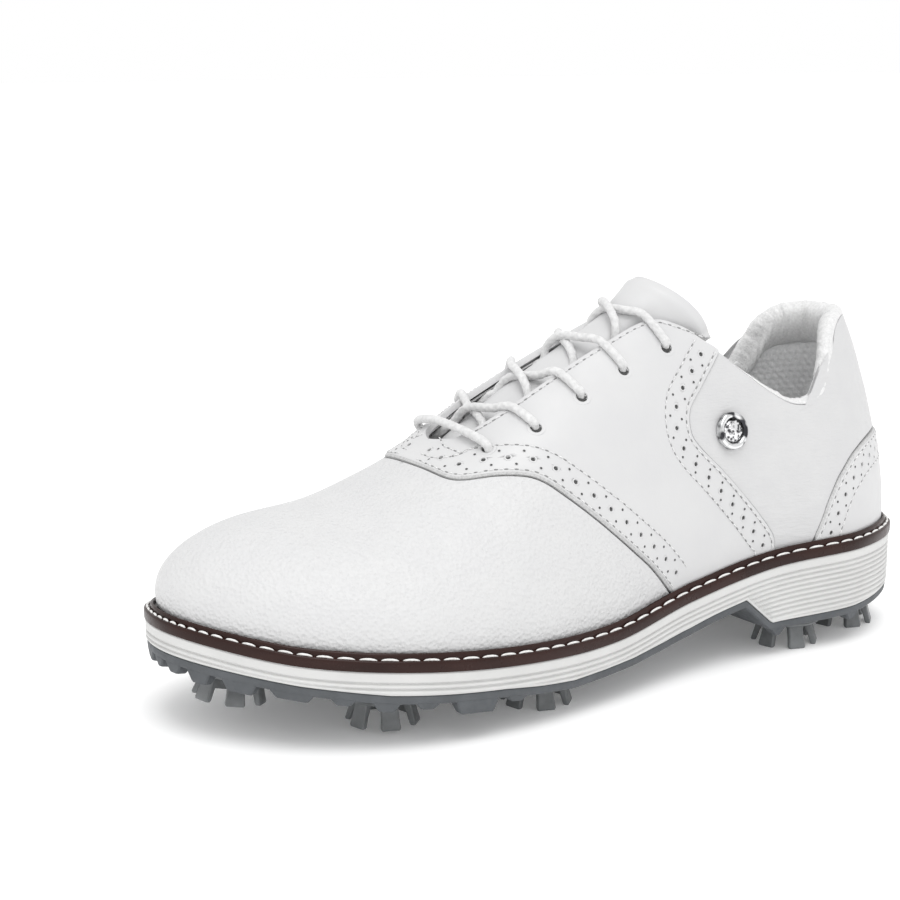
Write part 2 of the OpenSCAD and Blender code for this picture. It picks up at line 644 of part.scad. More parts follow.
module cleat(k) {
  color("gray") seat() at_cleat(k) {
    translate([0, 0, -disc_t]) {
      cylinder(d = cleat_d, h = disc_t - 0.2);
      cylinder(d = 9, h = disc_t);
      for (i = [0:leg_count - 1]) rotate([0, 0, 360 * i / leg_count + 13]) leg();
    }
    translate([0, 0, -0.5]) cylinder(d = 8.8, h = cup_h - 1);
    for (i = [0:2]) rotate([0, 0, 120 * i])
      translate([3.5, -1.5, cup_h - 3.2]) cube([2.8, 3, 1.7]);
  }
}

outsole();
midsole();
shank();
welt();
welt_stitching();
insole_board();
sockliner();
vamp();
toe_puff();
vamp_lining();
saddle(1);  // saddle_lateral
saddle(-1);  // saddle_medial
facing_lining(1);  // facing_lining_lateral
facing_lining(-1);  // facing_lining_medial
quarter(1);  // quarter_lateral
quarter(-1);  // quarter_medial
heel_patch();
backstay();
heel_counter();
quarter_lining();
collar();
tongue();
tongue_foam();
tongue_lining();
lace();
lace_tips();
badge();
badge_washer();
for (k = [1:9]) {
  receptacle(k - 1);
}
for (k = [1:9]) {
  cleat(k - 1);
}
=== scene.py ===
"""Looks for the golf shoe: leather panels, brogue bands, stitching, lace, sole and cleats.

Shoe measures are in millimetres from the back of the heel: x to the toe, y to the lateral
side, z up from the cleat tips. add_piece() moves them into the shared frame, in metres.
"""

import itertools
import math

import bmesh
import bpy
import numpy as np
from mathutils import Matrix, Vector


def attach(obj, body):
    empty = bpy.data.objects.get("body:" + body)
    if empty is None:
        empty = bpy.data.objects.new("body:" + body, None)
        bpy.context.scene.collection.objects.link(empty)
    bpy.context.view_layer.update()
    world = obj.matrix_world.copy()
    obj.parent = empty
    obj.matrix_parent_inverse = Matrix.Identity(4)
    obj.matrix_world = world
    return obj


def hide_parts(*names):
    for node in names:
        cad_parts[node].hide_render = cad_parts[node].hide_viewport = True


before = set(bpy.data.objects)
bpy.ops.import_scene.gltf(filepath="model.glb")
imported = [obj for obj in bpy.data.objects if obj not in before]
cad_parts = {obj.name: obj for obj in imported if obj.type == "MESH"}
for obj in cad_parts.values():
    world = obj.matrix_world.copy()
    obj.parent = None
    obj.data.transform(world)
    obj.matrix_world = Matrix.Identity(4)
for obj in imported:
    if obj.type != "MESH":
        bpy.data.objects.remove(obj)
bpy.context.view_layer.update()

# ---- driving sizes, millimetres ----

SHOE_LENGTH = 304
HEEL_TO_FRAME = np.array([-SHOE_LENGTH / 2, -1.5, 0.0])
LEATHER = 1.5
OVERLAY = 0.9
ROUND_EDGE = 0.45
WELT_T = 4.3
WELT_INSET = 4.5
WELT_STITCHES = 114
OUTSOLE_T = 3
SOLE_JOINT = 0.15
TONGUE_T = 6.4
TONGUE_EDGE = 5.5
LACE_D = 3.2
BRAID_PITCH = 3.4
BADGE_D = 13.5
DISC_T = 2
LEG_H = 8.5
LEG_COUNT = 6
LEG_W = 6.6
LEG_TURN = math.radians(13)
LUG_DEPTH = 5.5
NUB_H = 3

# Brogue bands: how far the rows stand in from the panel's edge, and what is in them.
EDGE_ROW = 1.7
HOLE_ROW = 6.2
INNER_ROW = 10.8
FRONT_PITCH = 8.5
REAR_PITCH = 7.5
PAIR_SPREAD = 2.5
SMALL_HOLE = 0.5
BIG_HOLE = 0.86
EYELET_HOLE = 2.1
STITCH_PITCH = 3.4
STITCH_GAP = 1.5
THREAD = 0.5
# Width of the dark mark in each stitch gap, painted shade at the needle holes.
NEEDLE_SHADE_W = 0.7
BEVEL = 1.1

# Gaps between panels and above the welt, as shares of the last's v and h.
PANEL_GAP = 0.0006
FOOT_GAP = 0.003

# ---- outlines and profiles, as in the part's source ----

LATERAL = [[0, 0], [7, 24], [38, 40.5], [80, 39.5], [120, 42], [160, 50.5], [200, 57],
           [240, 54], [275, 37], [297, 12.5], [304, -9.5]]
MEDIAL = [[0, 0], [7, -24], [38, -40.5], [80, -35.5], [120, -34.5], [160, -41], [200, -50.5],
          [240, -54], [275, -46], [297, -30.5], [304, -9.5]]
LATERAL_GUIDES = np.array([MEDIAL[1]] + LATERAL + [MEDIAL[-2]], float)
MEDIAL_GUIDES = np.array([LATERAL[1]] + MEDIAL + [LATERAL[-2]], float)
WELT_LOW = [[0, 36], [40, 36.3], [80, 34.4], [120, 28.5], [160, 22.5], [200, 23.4], [240, 26.3],
            [275, 29.5], [304, 35.3]]
MIDSOLE_LOW = [[0, 17], [40, 14.5], [79.5, 13.5], [92.5, 24.2], [108, 21.4], [120, 18.9],
               [135, 16.5], [150, 14.7], [165, 13.8], [180, 13.5], [195, 14.8], [210, 16.5],
               [230, 17.9], [250, 19.4], [275, 23], [304, 28.4]]
RIDGE_Z = [[0, 142], [40, 142], [80, 142], [100, 139], [120, 130], [150, 117], [180, 101],
           [212, 81], [240, 72], [270, 75], [304, 85]]
RIDGE_Y = [[0, 0], [120, -2], [160, -3], [212, -5], [304, -9]]
RIB_N = [[40, 1.95], [100, 2.1], [150, 2.1], [212, 2.3]]
RIB_M = [[40, 1.4], [100, 2], [150, 2], [212, 2.05]]
HEEL_CENTRE, TOE_CENTRE = 40, 212
FRONT_SEAM = [[0, 0.417], [0.14, 0.443], [0.27, 0.471], [0.39, 0.496], [0.5, 0.517],
              [0.6, 0.535], [0.7, 0.552], [0.76, 0.565], [0.84, 0.589], [0.92, 0.618], [1, 0.629]]
REAR_SEAM = [[0, 0.292], [0.07, 0.296], [0.16, 0.313], [0.26, 0.334], [0.37, 0.357],
             [0.47, 0.377], [0.54, 0.386], [0.62, 0.383], [0.67, 0.366], [0.745, 0.341],
             [0.8, 0.335], [0.9, 0.325], [1, 0.32]]
# Upper edge of the heel patch, top edge of the quarters, and top edge of the saddles.
PATCH_TOP = [[0, 0.365], [0.143, 0.347], [0.192, 0.306], [0.217, 0.246], [0.233, 0.17],
             [0.246, 0.066], [0.254, 0]]
TOPLINE = [[0, 0.79], [0.09, 0.79], [0.145, 0.78], [0.175, 0.76], [0.195, 0.72],
           [0.208, 0.655], [0.216, 0.6], [0.226, 0.54], [0.24, 0.507], [0.255, 0.503],
           [0.27, 0.517], [0.288, 0.561], [0.306, 0.617], [0.324, 0.677], [0.341, 0.745]]
SADDLE_TOP = [[0, 0.745], [0.093, 0.807], [0.175, 0.885], [0.226, 0.932], [0.29, 0.952],
              [0.42, 0.955], [0.72, 0.965], [0.815, 0.975], [0.885, 0.988], [0.916, 1], [1, 1]]
THROAT, THROAT_H = TOPLINE[-1]
EYELETS = [[0.583, 0.925], [0.54, 0.875], [0.49, 0.865], [0.442, 0.858], [0.394, 0.845]]
BADGE_AT = [0.341, 0.476]
TONGUE_SIDE = [[0, 8.6], [0.1, 7.2], [0.8, 7.2], [0.9, 4.5], [1, 0.5]]
TONGUE_CREST = [[0, 7], [0.1, 5.6], [0.3, 4.2], [0.6, 2.6], [0.75, 1.2], [0.83, -0.2],
                [0.9, -2.8], [1, -6]]
TONGUE_SPREAD = [[0, 0.94], [0.2, 0.89], [0.6, 0.865], [1, 0.82]]
# Edge lugs: [place along the edge, width, height].
LUGS = [[0.96, 7.5, 3], [0.913, 9, 3.8], [0.862, 12, 3.4], [0.81, 14, 2.2], [0.765, 8, 1.8],
        [0.73, 9, 2.6], [0.695, 8, 1.8], [0.65, 16, 4.2], [0.612, 8, 1.6], [0.29, 6.5, 2.4],
        [0.205, 7, 2.4], [0.02, 7, 2.4]]
NUBS = [[262, -26], [260, 16], [212, 0], [208, 34], [208, -34], [158, 4], [152, 28], [152, -20],
        [134, 6]]
# Cleats: [x, y, how far the seat's ring stands down, tilt], and the height of their tips.
CLEATS = [[279, -3, 1.5, -9], [238, 25, 3, 0], [238, -27, 3, 0], [180, 31, 0, 0],
          [180, -24, 0, 0], [60, 24, 0.5, 0], [60, -22, 0.5, 0], [23, 15, 2, 0],
          [23, -14, 2, 0]]
TIP_Z = [9, 1.9, 1.9, 0, 0, 0, 0, 0, 0]
# Outlines that are turned or swept: [radius or distance, height].
COLLAR_SECTION = [[0.35, 0.12], [0.1, 0.7], [0.35, 1.6], [1.2, 2.5], [2.6, 3.0], [4.3, 2.7],
                  [6.2, 1.4], [7.7, -0.8], [8.6, -3.6], [8.9, -6.8], [8.5, -10], [7.6, -12.8],
                  [6.4, -14.2], [5.2, -13.6], [4.2, -11.4], [3.2, -8.5], [2.4, -5.5],
                  [1.9, -2.6], [1.75, -0.5], [1.3, 0.1]]
CLEAT_DISC = [(0.05, 0), (4.4, 0), (4.5, -0.15), (12.2, -0.25), (12.8, -0.5), (13, -1.0),
              (12.7, -1.6), (12, -2), (9, -2.2), (6.6, -2.3), (5.8, -3.1), (4.9, -3.5),
              (4.4, -3.4), (4.1, -2.6), (0.05, -2.5)]
CLEAT_STEM = [(0.05, -0.3), (4.3, -0.3), (4.4, 0), (4.4, 4.2), (4.1, 4.5), (0.05, 4.5)]
WRENCH_TAB = [(1.1, -3.9), (1.3, -3.7), (1.3, -2.4)]
# The lips of the three sizes of hole: [beyond the radius, above the leather].
PUNCH = [(0.55, -0.12), (0.5, 0.03), (0.24, 0.08), (0.02, 0.05), (-0.05, -0.08), (-0.06, -0.5)]
SHALLOW = [(0.26, -0.1), (0.24, 0.02), (0.14, 0.08), (0.04, 0.07), (0.0, 0.04), (-0.02, 0.02)]
EYELET = [(1.2, -0.12), (1.1, 0.02), (0.5, 0.06), (0.1, 0.02), (-0.05, -0.1), (-0.15, -0.35),
          (-0.15, -0.75)]


# ---- curves ----

def spline(points, t):
    """Point at t (0 to 1) on a smooth curve; the first and last points only guide it."""
    n = len(points) - 3
    q = np.clip(t, 0, 1) * n
    i = np.minimum(np.floor(q).astype(int), n - 1)
    f = (q - i)[..., None]
    a, b, c, d = (points[i + k] for k in range(4))
    return 0.5 * (2 * b + (c - a) * f + (2 * a - 5 * b + 4 * c - d) * f ** 2
                  + (3 * b - a - 3 * c + d) * f ** 3)


def guided(points):
    """The points with one more guide point at each end."""
    points = np.asarray(points, float)
    return np.vstack([2 * points[0] - points[1], points, 2 * points[-1] - points[-2]])


def curve(table, at):
    """Smooth value through [x, value] pairs."""
    x, y = np.array(table, float).T
    m = np.gradient(y)
    m[1:-1] = (y[2:] - y[:-2]) / (x[2:] - x[:-2])
    m[0] = (y[1] - y[0]) / (x[1] - x[0])
    m[-1] = (y[-1] - y[-2]) / (x[-1] - x[-2])
    at = np.clip(np.asarray(at, float), x[0], x[-1])
    i = np.clip(np.searchsorted(x, at, side="right") - 1, 0, len(x) - 2)
    w = x[i + 1] - x[i]
    t = (at - x[i]) / w
    return (y[i] * (2 * t ** 3 - 3 * t ** 2 + 1) + m[i] * w * (t ** 3 - 2 * t ** 2 + t)
            + y[i + 1] * (3 * t ** 2 - 2 * t ** 3) + m[i + 1] * w * (t ** 3 - t ** 2))


def unit(a):
    return a / np.maximum(np.linalg.norm(a, axis=-1, keepdims=True), 1e-12)


def smooth_step(x, low, high):
    t = np.clip((x - low) / (high - low), 0, 1)
    return t * t * (3 - 2 * t)


def noise(points, size, seed=0):
    """Smooth noise from -1 to 1 whose bumps are about size across; size may differ by axis."""
    q = np.asarray(points, float) / np.asarray(size, float) + 31.7 * seed
    base = np.floor(q).astype(np.int64)
    f = q - base
    f = f * f * (3 - 2 * f)
    total = np.zeros(q.shape[:-1])
    for corner in itertools.product((0, 1), repeat=q.shape[-1]):
        cell = base + corner
        key = cell[..., 0] * 73856093 ^ cell[..., 1] * 19349663
        if q.shape[-1] > 2:
            key = key ^ cell[..., 2] * 83492791
        key = (key ^ (key >> 13)) * 1274126177 & 0x7FFFFFFF
        key = (key ^ (key >> 15)) * 668265263 & 0x7FFFFFFF
        weight = np.prod(np.where(corner, f, 1 - f), axis=-1)
        total += weight * (key / 0x3FFFFFFF - 1)
    return total


# ---- the sole's outline and the last ----

def outline(guides, side, u, off):
    t = unit(spline(guides, np.minimum(u + 5e-4, 1)) - spline(guides, np.maximum(u - 5e-4, 0)))
    out = side * np.stack([-t[..., 1], t[..., 0]], -1)
    out = np.where((u < 5e-4)[..., None], [-1, 0], np.where((u > 0.9995)[..., None], [1, 0], out))
    return spline(guides, u) + np.asarray(off, float)[..., None] * out


def u_of(v):
    return np.where(v > 1, 2 - v, np.abs(v))


def rim(v, off=0.0):
    """Outline point by v: 0 heel, 1 toe, and above 1 or below 0 on the medial side."""
    v = np.asarray(v, float)
    u = u_of(v)
    medial = (v > 1) | (v < 0)
    return np.where(medial[..., None], outline(MEDIAL_GUIDES, -1, u, off),
                    outline(LATERAL_GUIDES, 1, u, off))


def welt_z(x):
    return curve(WELT_LOW, x)


def midsole_z(x):
    table = np.array(MIDSOLE_LOW, float)
    return np.interp(x, table[:, 0], table[:, 1])


def skin(v, h):
    """Point on the last: v round the shoe, h from the feather line 0 to the ridge 1."""
    v, h = np.broadcast_arrays(np.asarray(v, float), np.asarray(h, float))
    foot = rim(v, -WELT_INSET)
    cx = np.clip(spline(LATERAL_GUIDES[:, :1], u_of(v))[..., 0], HEEL_CENTRE, TOE_CENTRE)
    centre = np.stack([cx, curve(RIDGE_Y, cx)], -1)
    k = np.clip(h, 0, 1)
    full = np.maximum(1 - k ** curve(RIB_M, cx), 0) ** (1 / curve(RIB_N, cx))
    swell = 1 + 0.03 * np.sin(np.pi * np.minimum(k / 0.6, 1)) * (1 - k)
    p = centre + (foot - centre) * (full * swell)[..., None]
    z0 = welt_z(foot[..., 0]) + 4.5
    z = z0 * (1 - k) + curve(RIDGE_Z, p[..., 0]) * k
    return np.concatenate([p, z[..., None]], -1)


def skin_normal(v, h):
    v, h = np.broadcast_arrays(np.asarray(v, float), np.asarray(h, float))
    hc = np.minimum(h, 0.99)
    up = skin(v, hc + 0.004) - skin(v, np.maximum(hc - 0.004, 0))
    side = unit(np.cross(up, skin(v + 0.002, hc) - skin(v - 0.002, hc)))
    x = skin(v, h)[..., 0]
    lean = (curve(RIDGE_Z, x - 2) - curve(RIDGE_Z, x + 2)) / 4
    ridge = unit(np.stack([lean, 0 * x, 1 + 0 * x], -1))
    return unit(side + (ridge - side) * smooth_step(h, 0.965, 1)[..., None])


def inside(v, h, d):
    return skin(v, h) - skin_normal(v, h) * np.asarray(d, float)[..., None]


def facing_edge(u):
    return curve(SADDLE_TOP, (u - 0.321) / 0.306)


# ---- paths on the last, as rows of [v, h] ----

def lengths(points):
    return np.concatenate([[0], np.cumsum(np.linalg.norm(np.diff(points, axis=0), axis=1))])


def at_lengths(path, s):
    """Places at distances s along a path."""
    run = lengths(skin(path[:, 0], path[:, 1]))
    return np.stack([np.interp(s, run, path[:, k]) for k in (0, 1)], -1)


def path_length(path):
    return lengths(skin(path[:, 0], path[:, 1]))[-1]


def beside(path, mm):
    """The path moved mm to its left as seen from outside, looking along it."""
    v, h = path.T
    e = 0.002
    hc = np.clip(h, e, 0.985)
    jv = (skin(v + e, hc) - skin(v - e, hc)) / (2 * e)
    jh = (skin(v, hc + e) - skin(v, hc - e)) / (2 * e)
    way = unit(np.gradient(skin(v, h), axis=0))
    left = unit(np.cross(skin_normal(v, hc), way)) * mm
    a, b, c = (jv * jv).sum(-1), (jv * jh).sum(-1), (jh * jh).sum(-1)
    p, q = (jv * left).sum(-1), (jh * left).sum(-1)
    det = a * c - b * b
    return path + np.stack([(c * p - b * q) / det, (a * q - b * p) / det], -1)


def seam_path(table, low, high, count=300):
    h = np.linspace(low, high, count)
    return np.stack([curve(table, h), h], -1)


def flip(path, side):
    return path * [side, 1]


# ---- meshes ----

PAINTS = {}


def new_object(name, data):
    made = bpy.data.objects.new(name, data)
    bpy.context.scene.collection.objects.link(made)
    return made


def add_piece(name, points, faces, paints, nodes=None, body="shoe", paint_of=None, crease=40,
              slot=None, weld=1e-6):
    """A mesh piece from millimetre points, riding on a body. It stands for the CAD nodes, or
    for the one of its own name. The slot argument is not used."""
    mesh = bpy.data.meshes.new(name)
    mesh.from_pydata(((np.asarray(points) + HEEL_TO_FRAME) * 0.001).tolist(), [],
                     [list(map(int, f)) for f in faces])
    for paint in paints:
        mesh.materials.append(PAINTS[paint])
    if paint_of is not None:
        mesh.polygons.foreach_set("material_index", np.asarray(paint_of, dtype=np.int32))
    bm = bmesh.new()
    bm.from_mesh(mesh)
    if weld:
        bmesh.ops.remove_doubles(bm, verts=bm.verts, dist=weld)
        bmesh.ops.dissolve_degenerate(bm, edges=bm.edges, dist=weld)
    bmesh.ops.recalc_face_normals(bm, faces=bm.faces)
    bm.to_mesh(mesh)
    bm.free()
    mesh.shade_smooth()
    mesh.set_sharp_from_angle(angle=math.radians(crease))
    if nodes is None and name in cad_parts:
        nodes = [name]
    piece = new_object(name, mesh)
    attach(piece, body)
    if nodes:
        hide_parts(*nodes)
    return piece


def joined(parts):
    """One set of points and faces from several."""
    points, faces, start = [], [], 0
    for part_points, part_faces in parts:
        points.append(part_points)
        faces += [[i + start for i in face] for face in part_faces]
        start += len(part_points)
    return np.concatenate(points), faces


def ring_faces(n, m, looped=False, capped=True):
    """Faces joining n rings of m points, looped back to the first ring or capped."""
    i, j = np.meshgrid(np.arange(n if looped else n - 1), np.arange(m), indexing="ij")
    a, b = i * m + j, i * m + (j + 1) % m
    c, d = (i + 1) % n * m + (j + 1) % m, (i + 1) % n * m + j
    faces = np.stack([a, b, c, d], -1).reshape(-1, 4).tolist()
    if capped and not looped:
        faces.append(list(range(m - 1, -1, -1)))
        faces.append(list(range((n - 1) * m, n * m)))
    return faces


def block(rings, **how):
    """Points and faces of a solid made of rings."""
    return np.concatenate(rings), ring_faces(len(rings), len(rings[0]), **how)


def circle(sides):
    """Cosines and sines of evenly spaced angles, as columns."""
    angle = np.arange(sides)[:, None] * 2 * np.pi / sides
    return np.cos(angle), np.sin(angle)


def turned(profile, sides, centre, n, beside_it=(0.3, 0.2, 1.0)):
    """A ring-shaped solid: [radius, height] profile turned about the axis n at centre."""
    a = unit(np.cross(n, beside_it))
    c, s = circle(sides)
    ring = a * c + np.cross(n, a) * s
    return block([centre + ring * r + n * np.reshape(z, (-1, 1)) for r, z in profile],
                 looped=True)


def slab(outer, inner, open_top=None):
    """A closed slab between two grids of points, with a kind for each face: 0 a sheet, then the
    walls at the grid's low edge 1, top edge 2, first column 3 and last column 4.
    open_top marks the columns whose top is left open, to be welded to the other side."""
    n, m = outer.shape[:2]
    s = n * m
    i, j = np.arange(n - 1), np.arange(m - 1)
    a = (i[:, None] * m + j).reshape(-1)
    sheet = np.stack([a, a + m, a + m + 1, a + 1], -1)
    groups = [np.concatenate([sheet, sheet[:, ::-1] + s])]
    for p, q in ((i * m, i * m + m), (i * m + m - 1, i * m + 2 * m - 1), (j, j + 1),
                 ((n - 1) * m + j, (n - 1) * m + j + 1)):
        groups.append(np.stack([p, q, q + s, p + s], -1))
    if open_top is not None:
        groups[2] = groups[2][~open_top]
    kinds = np.repeat(np.arange(5), [len(group) for group in groups])
    points = np.concatenate([outer.reshape(-1, 3), inner.reshape(-1, 3)])
    return points, np.concatenate(groups), kinds


def run_along(points, axis):
    """Distance of each grid point from the start of its row or column."""
    step = np.diff(points, axis=axis, prepend=np.take(points, [0], axis=axis))
    return np.cumsum(np.linalg.norm(step, axis=-1), axis)


def border_distance(points, open_top=None):
    """Distance of each grid point from the nearest border of its sheet."""
    across, up = run_along(points, 0), run_along(points, 1)
    top = up[:, -1:] - up
    if open_top is not None:
        top = top + 1e3 * np.append(open_top, open_top[-1])[:, None]
    return np.minimum(np.minimum(across, across[-1:] - across), np.minimum(up, top))


def side_distance(points, side):
    """Distance of each grid point from the sheet's top edge, side 2, or last column, side 4."""
    if side == 2:
        return side_distance(points.swapaxes(0, 1), 4).T
    run = run_along(points, 0)
    along = unit(np.gradient(points[-1], axis=0))
    slant = np.linalg.norm(np.cross(unit(points[-1] - points[-5]), along), axis=-1)
    return (run[-1:] - run) * slant


def pits(points, holes):
    """How far each point drops into the punched holes, given as rows of x, y, z, radius, depth."""
    drop = np.zeros(points.shape[:-1])
    for hole in holes:
        near = np.abs(points - hole[:3]).max(-1) < hole[3] + 1
        r = np.linalg.norm(points[near] - hole[:3], axis=-1)
        drop[near] = np.maximum(drop[near], hole[4] * smooth_step(hole[3] - r, -0.15, 0.2))
    return drop


def leather(v, h, top, under, relief=None, holes=(), open_top=None, raw_side=0):
    """A sheet of leather over grids v and h between depths top and under, its edges rounded.
    On raw_side the cut edge shows: it slopes down over a bevel, whose faces are of kind 5."""
    base = inside(v, h, top)
    edge = np.clip(ROUND_EDGE - border_distance(base, open_top), 0, ROUND_EDGE)
    drop = ROUND_EDGE - np.sqrt(ROUND_EDGE ** 2 - edge ** 2)
    if relief is not None:
        drop = drop - relief(v, h, base)
    drop = drop + pits(base, holes)
    far = side_distance(base, raw_side) if raw_side else None
    if raw_side:
        drop = np.maximum(drop, 0.6 * np.clip(1 - far / BEVEL, 0, 1) ** 0.8)
    outer = inside(v, h, top + np.minimum(drop, under - top - 0.1))
    points, faces, kinds = slab(outer, inside(v, h, under), open_top)
    if raw_side:
        kinds[np.flatnonzero(far[:-1, :-1] < BEVEL * 0.9)] = 5
    return points, faces, kinds


def leather_piece(name, paints, raw, *sheet, **more):
    """A piece of one leather sheet whose faces of the raw kinds take the second paint."""
    points, faces, kinds = leather(*sheet, **more)
    add_piece(name, points, faces, paints, paint_of=np.isin(kinds, raw).astype(int))


# ---- procedural materials ----

class Paint:
    """Builds one Principled material from small texture layers, sizes in millimetres."""

    def __init__(self, name, color, rough, slot=None, **sockets):
        self.material = bpy.data.materials.new(name)
        self.material.use_nodes = True
        self.tree = self.material.node_tree
        self.shader = self.tree.nodes["Principled BSDF"]
        self.place = self.tree.nodes.new("ShaderNodeTexCoord").outputs["Object"]
        self.color = self.opaque(color)
        self.rough = rough
        self.shader.inputs["Base Color"].default_value = self.color
        self.shader.inputs["Roughness"].default_value = rough
        for key, value in sockets.items():
            self.shader.inputs[key.replace("_", " ")].default_value = value
        PAINTS[name] = self.material

    def opaque(self, color):
        """A colour with its alpha; a single number is a grey."""
        return (*color, 1) if isinstance(color, tuple) else (color, color, color, 1)

    def link(self, a, b):
        self.tree.links.new(a, b)

    def texture(self, kind, size, stretch=None):
        """A texture node whose features are about size across."""
        n = self.tree.nodes.new(kind)
        n.inputs["Scale"].default_value = 1000 / size
        place = self.place
        if stretch:
            mapping = self.tree.nodes.new("ShaderNodeMapping")
            mapping.inputs["Scale"].default_value = stretch
            self.link(place, mapping.inputs["Vector"])
            place = mapping.outputs["Vector"]
        self.link(place, n.inputs["Vector"])
        return n

    def noise(self, size, detail=3, stretch=None):
        n = self.texture("ShaderNodeTexNoise", size, stretch)
        n.inputs["Detail"].default_value = detail
        n.inputs["Roughness"].default_value = 0.5
        return n.outputs["Fac"]

    def cells(self, size, smooth=None):
        n = self.texture("ShaderNodeTexVoronoi", size)
        if smooth is not None:
            n.feature = "SMOOTH_F1"
            n.inputs["Smoothness"].default_value = smooth
        return n.outputs["Distance"]

    def bands(self, size, direction, distort=0.0):
        n = self.texture("ShaderNodeTexWave", size * 3.2)
        n.bands_direction = direction
        n.inputs["Distortion"].default_value = distort
        n.inputs["Detail"].default_value = 2
        return n.outputs["Fac"]

    def ramp(self, value, low, high, to_low=0.0, to_high=1.0):
        n = self.tree.nodes.new("ShaderNodeMapRange")
        for key, x in zip(("From Min", "From Max", "To Min", "To Max"),
                          (low, high, to_low, to_high)):
            n.inputs[key].default_value = x
        self.link(value, n.inputs["Value"])
        return n.outputs["Result"]

    def vary(self, value, other, low=0.35, high=0.65):
        """Blends the base colour towards another where value is high."""
        n = self.tree.nodes.new("ShaderNodeMix")
        n.data_type = "RGBA"
        ends = [s for s in n.inputs if s.type == "RGBA"]
        ends[0].default_value = self.color
        ends[1].default_value = self.opaque(other)
        self.link(self.ramp(value, low, high), n.inputs["Factor"])
        out = [s for s in n.outputs if s.type == "RGBA"][0]
        self.link(out, self.shader.inputs["Base Color"])
        return self

    def gloss(self, value, swing):
        """Lets the roughness swing about its value."""
        low, high = self.rough - swing, self.rough + swing
        self.link(self.ramp(value, 0.3, 0.7, low, high), self.shader.inputs["Roughness"])
        return self

    def bump(self, value, depth):
        """Adds one bump layer, depth in millimetres."""
        n = self.tree.nodes.new("ShaderNodeBump")
        n.inputs["Distance"].default_value = depth * 0.001
        n.inputs["Strength"].default_value = 1.0
        self.link(value, n.inputs["Height"])
        normal = self.shader.inputs["Normal"]
        if normal.is_linked:
            self.link(normal.links[0].from_socket, n.inputs["Normal"])
        self.link(n.outputs["Normal"], normal)
        return self


def paint_leathers():
    a = Paint("tumbled_leather", (0.605, 0.605, 0.607), 0.5, Coat_Weight=0.05, Coat_Roughness=0.35)
    a.vary(a.noise(14), (0.59, 0.59, 0.594)).gloss(a.noise(2.5), 0.08)
    a.bump(a.cells(1.3, 0.5), 0.36).bump(a.noise(0.6), 0.14).bump(a.noise(5), 0.14)

    a = Paint("quarter_leather", (0.575, 0.575, 0.577), 0.48, "tumbled_leather",
              Coat_Weight=0.05, Coat_Roughness=0.35)
    a.vary(a.noise(12), (0.555, 0.555, 0.56)).gloss(a.noise(2.5), 0.07)
    a.bump(a.noise(1.3, stretch=(0.35, 0.35, 1.6)), 0.16).bump(a.noise(0.4), 0.03)

    a = Paint("smooth_leather", (0.59, 0.59, 0.592), 0.46, Coat_Weight=0.05, Coat_Roughness=0.3)
    a.vary(a.noise(18), (0.572, 0.572, 0.577)).gloss(a.noise(3), 0.05)
    a.bump(a.noise(0.5), 0.02).bump(a.noise(9), 0.12)

    a = Paint("raw_leather_edge", 0.54, 0.75)
    a.vary(a.noise(0.7), 0.42).bump(a.noise(0.5), 0.1)

    # Near black for the floors of holes and eyelets and the badge's groove: painted shade inside
    # these recesses.
    a = Paint("punched_hole", 0.1, 0.85)
    a.vary(a.noise(0.6), 0.05).bump(a.noise(0.4), 0.05)

    # Grey for the dashes between stitches: painted shade at the needle holes.
    a = Paint("needle_mark", 0.3, 0.8)
    a.vary(a.noise(0.6), 0.2).bump(a.noise(0.4), 0.05)


def paint_textiles():
    a = Paint("sewing_thread", 0.74, 0.6, "thread", Sheen_Weight=0.2)
    a.vary(a.noise(0.8), 0.62).bump(a.noise(0.25, stretch=(1, 1, 3)), 0.06)

    a = Paint("welt_thread", (0.8, 0.8, 0.79), 0.5, "thread", Sheen_Weight=0.2)
    a.vary(a.noise(1.2), (0.66, 0.65, 0.63)).bump(a.bands(0.5, "DIAGONAL"), 0.06)

    a = Paint("lace_textile", 0.7, 0.75, Sheen_Weight=0.35, Sheen_Roughness=0.4)
    a.vary(a.noise(1.6), 0.6).bump(a.noise(0.3, 2), 0.08)

    a = Paint("mesh_textile", (0.76, 0.765, 0.77), 0.8, Sheen_Weight=0.3, Sheen_Roughness=0.5)
    a.vary(a.noise(0.8), 0.86).bump(a.noise(0.35), 0.1).bump(a.cells(0.7, 1.0), 0.12)

    a = Paint("collar_textile", 0.72, 0.62, Sheen_Weight=0.3, Sheen_Roughness=0.4)
    a.vary(a.noise(0.9), 0.62).bump(a.noise(0.8, 4), 0.25).bump(a.cells(0.6, 1.0), 0.08)

    a = Paint("lining_textile", 0.66, 0.8, Sheen_Weight=0.2)
    a.vary(a.noise(1.5), 0.58).bump(a.bands(0.9, "X", 0.4), 0.08)
    a.bump(a.bands(0.9, "Z", 0.4), 0.08)

    a = Paint("cushion_foam", (0.66, 0.66, 0.62), 0.9, "foam")
    a.vary(a.noise(2), (0.56, 0.56, 0.52)).bump(a.cells(0.8), 0.2)


